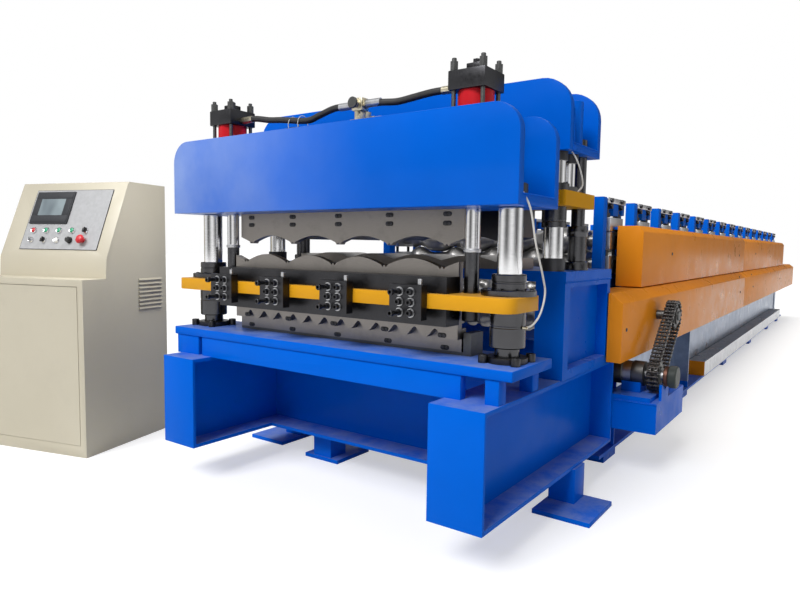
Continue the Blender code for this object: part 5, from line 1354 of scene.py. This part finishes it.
def key_lock(name, column, up):
    """Lock barrel with its key."""
    bm = stemmed([(0.0, 0.0085), (0.0078, 0.0085), (0.0092, 0.0075), (0.0102, 0.0012), (STEM_R, 0.0010)])
    block(bm, (-0.0009, 0.0009), (-0.0042, 0.0042), (0.0080, 0.0125))
    bow = [(y * 1.55, z) for y, z in circle((0.0, 0.0150), 0.0050, 0, 342, 19)]
    prism(bm, bow, Matrix.Translation((-0.0009, 0, 0)) @ ACROSS_X, 0.0018)
    control(name, "_lock", bm, column, up, [PLATE_STEEL], "chrome_steel")


def knob(name, column, up):
    """Black turning knob with a fluted side and a white pointer."""
    bm = bmesh.new()
    fluted = []
    for i in range(72):
        radius = 0.0126 - 0.0006 * (i % 3 == 0)
        turn = math.radians(5 * i)
        fluted.append((radius * math.cos(turn), radius * math.sin(turn)))
    prism(bm, fluted, Matrix.Translation((0, 0, 0.004)), 0.0135)
    lathe(bm, [(0.0, 0.0198), (0.0090, 0.0197), (0.0118, 0.0174), (0.0, 0.0172)], HERE, 36)
    skirt = [
        (0.0147, 0.0012), (0.0145, 0.0040), (0.0, 0.0045), (0.0, STEM_END), (STEM_R, STEM_END),
        (STEM_R, 0.0010),
    ]
    lathe(bm, skirt, HERE, 36)
    block(bm, (-0.0007, 0.0007), (0.0040, 0.0112), (0.0186, 0.0199), 1)
    control(name, "_grip", bm, column, up, [BLACK_PLASTIC, WHITE_PLASTIC])


def stop_button(name, column, up):
    """Red mushroom head on its collar."""
    head = [
        (0.0, 0.0298), (0.0080, 0.0295), (0.0150, 0.0275), (0.0190, 0.0240), (0.0200, 0.0200),
        (0.0190, 0.0165), (0.0120, 0.0150), (0.0115, 0.0075), (STEM_R, 0.0072),
    ]
    control(name, "_head", stemmed(head, 40, -0.016), column, up, [RED_PLASTIC])


def controls():
    """Both rows of controls on the sloped panel, each on its own body, and the rings that stay."""
    button("red_button", 0, UPPER_ROW, RED_PLASTIC)
    for i in (1, 2, 3):
        button(f"green_button_{i}", i, UPPER_ROW, GREEN_PLASTIC)
    selector("upper_selector", 4, UPPER_ROW)
    key_lock("key_switch", 0, LOWER_ROW)
    selector("lower_selector", 1, LOWER_ROW)
    button("white_button", 2, LOWER_ROW, WHITE_PLASTIC)
    knob("speed_knob", 3, LOWER_ROW)
    stop_button("emergency_stop", 4, LOWER_ROW)
    ring = bmesh.new()
    profile = [(0.0112, 0.0002), (0.0148, 0.0002), (0.0142, 0.0050), (0.0126, 0.0075), (0.0112, 0.0070)]
    lathe(ring, profile, HERE, 32, closed=True)
    places = [(i, UPPER_ROW) for i in range(5)] + [(i, LOWER_ROW) for i in (0, 1, 2)]
    spots = [(FIRST_CONTROL + CONTROL_PITCH * i, up, PANEL_TOP) for i, up in places]
    copies("control_rings", template("ring", ring), spots, UP, "frame", CHROME, SLOPE)


def bordered(bm, outer, inner, z, bevel=0.0):
    """Four bars between two rectangles, each given as (X from and to), (Y from and to)."""
    (left, right), (bottom, top) = outer
    (inner_left, inner_right), (inner_bottom, inner_top) = inner
    block(bm, (left, right), (inner_top, top), z, 0, bevel)
    block(bm, (left, right), (bottom, inner_bottom), z, 0, bevel)
    block(bm, (left, inner_left), (inner_bottom, inner_top), z, 0, bevel)
    block(bm, (inner_right, right), (inner_bottom, inner_top), z, 0, bevel)


def screen():
    """Framed display, and the panel's dark outline."""
    bm = bmesh.new()
    top = PANEL_TOP
    glass = ((-0.150, -0.008), (0.019, 0.100))
    block(bm, (-0.1876, 0.0326), (-0.0206, 0.1356), (top - 0.0005, top + 0.0066), 0, 0.0012)
    bordered(bm, ((-0.1816, 0.0266), (-0.0146, 0.1296)), glass, (top + 0.0066, top + 0.0084), 0.001)
    block(bm, *glass, (top + 0.0065, top + 0.0072), 1)
    piece("display", bm, "frame", [BEZEL, GLASS], "panel_grey", SLOPE)
    bm = bmesh.new()
    panel = ((-0.200, 0.238), (-0.142, 0.145))
    bordered(bm, [(low - PANEL_LIP, high + PANEL_LIP) for low, high in panel], panel, (0.0, top))
    piece("panel_edge", bm, "frame", [BEZEL], "black_plastic", SLOPE)


def louvres(name, first, corners):
    """Pressed ventilation slats. Corners gives a point of the slat from its length, depth and height."""
    bm = bmesh.new()
    low = [bm.verts.new(corners(0.0, out, up)) for out, up in LOUVRE_SECTION]
    high = [bm.verts.new(corners(LOUVRE_LENGTH, out, up)) for out, up in LOUVRE_SECTION]
    faces = [bm.faces.new(low), bm.faces.new(high[::-1])]
    for i in range(len(low)):
        j = (i + 1) % len(low)
        faces.append(bm.faces.new((low[i], high[i], high[j], low[j])))
    bmesh.ops.recalc_face_normals(bm, faces=faces)
    row(name, template(name + "_slat", bm), LOUVRE_COUNT, first, LOUVRE_STEP, BEIGE, CABINET)


def door_lock():
    """Quarter-turn lock in the cabinet door."""
    bm = bmesh.new()
    out = Matrix.Translation((-0.560, -0.0020, 0.390)) @ Matrix.Rotation(math.radians(90), 4, "X")
    profile = [
        (0.0, 0.0030), (0.0060, 0.0030), (0.0060, 0.0045), (0.0100, 0.0045), (0.0125, 0.0020), (0.0130, 0.0),
        (0.0, 0.0),
    ]
    lathe(bm, profile, HERE, 28)
    piece("door_lock", bm, "door", [PLATE_STEEL], "chrome_steel", CABINET @ out)


def pale_floor():
    mesh = bpy.data.meshes.new("floor")
    corners = [(x * FLOOR_REACH, y * FLOOR_REACH, 0) for x, y in ((-1, -1), (1, -1), (1, 1), (-1, 1))]
    mesh.from_pydata(corners, [], [(0, 1, 2, 3)])
    pale = Finish("pale_floor")
    pale.shader.inputs["Emission Color"].default_value = WHITE
    rays = pale.node("ShaderNodeLightPath").outputs
    in_sight = pale.sum_of(rays["Is Camera Ray"], rays["Is Glossy Ray"], "MAXIMUM")
    pale.tree.links.new(pale.sum_of(in_sight, FLOOR_GLOW), pale.shader.inputs["Emission Strength"])
    pale.colour(pale.mixed(pale.noise(0.7, 3.0), *FLOOR_TONES))
    pale.roughness(pale.drift(pale.noise(3.0, 3.0), 0.75, 0.90))
    mesh.materials.append(pale.material)
    placed("floor", mesh)


def surroundings():
    """White where the camera sees them, softer as light, and with soft bands in what mirrors them."""
    world = bpy.data.worlds.new("studio")
    bpy.context.scene.world = world
    world.use_nodes = True
    world.node_tree.nodes.clear()
    add = partial(add_node, world.node_tree)
    rays = add("ShaderNodeLightPath").outputs
    towards = add("ShaderNodeSeparateXYZ", {0: add("ShaderNodeTexCoord").outputs["Object"]}).outputs
    value = towards["Y"]
    for operation, other in (
        ("ARCTAN2", towards["X"]), ("MULTIPLY", SOFTBOX_COUNT), ("ADD", SOFTBOX_TURN), ("SINE", 0.0),
        ("MULTIPLY", SOFTBOX_SWING), ("ADD", MIRRORED_LIGHT),
    ):
        value = add("ShaderNodeMath", {0: value, 1: other}, operation=operation).outputs[0]
    kind = "ShaderNodeBackground"
    lighting = add(kind, {"Color": DAYLIGHT, "Strength": WORLD_LIGHT}).outputs[0]
    mirrored = add(kind, {"Strength": value}).outputs[0]
    seen = add(kind, {"Color": WHITE, "Strength": 1.0}).outputs[0]
    lit = add("ShaderNodeMixShader", {0: rays["Is Glossy Ray"], 1: lighting, 2: mirrored}).outputs[0]
    whole = add("ShaderNodeMixShader", {0: rays["Is Camera Ray"], 1: lit, 2: seen}).outputs[0]
    add("ShaderNodeOutputWorld", {"Surface": whole})


def aimed(way):
    return Vector(way).to_track_quat("-Z", "Y").to_matrix().to_4x4()


def studio():
    """Pale floor, even white surroundings, two soft suns and a small lamp for the cabinet's side."""
    pale_floor()
    surroundings()
    for name, way, softness, strength in LAMPS:
        lamp = bpy.data.lights.new(name, "SUN")
        lamp.angle = math.radians(softness)
        lamp.energy = strength
        placed(name, lamp).matrix_world = aimed(way)
    near = bpy.data.lights.new("cabinet_side", "AREA")
    near.size = CABINET_LAMP_SIZE
    near.spread = math.radians(CABINET_LAMP_SPREAD)
    near.energy = CABINET_LAMP
    holder = placed("cabinet_side", near)
    holder.visible_camera = False
    holder.visible_glossy = False
    holder.matrix_world = MACHINE @ Matrix.Translation(CABINET_LAMP_PLACE) @ aimed(CABINET_LAMP_WAY)
    bpy.context.scene.view_settings.view_transform = "Standard"


surfaces()
softened()
guides()
rib_blades()
hardware()
barrel("left", -1)
barrel("right", 1)
manifold()
hoses()
lubrication()
press()
stands()
rolls("upper_rolls", UPPER_DECK, tile_wave, TILE_DEPTHS)
rolls("lower_rolls", LOWER_DECK, rib, RIB_DEPTHS)
drive()
controls()
screen()
louvres("side_louvres", (0.0002, 0.320, 0.593), lambda along, out, up: (out, along, up))
louvres("rear_louvres", (-0.3800, 0.5052, 0.593), lambda along, out, up: (LOUVRE_LENGTH - along, out, up))
door_lock()
studio()
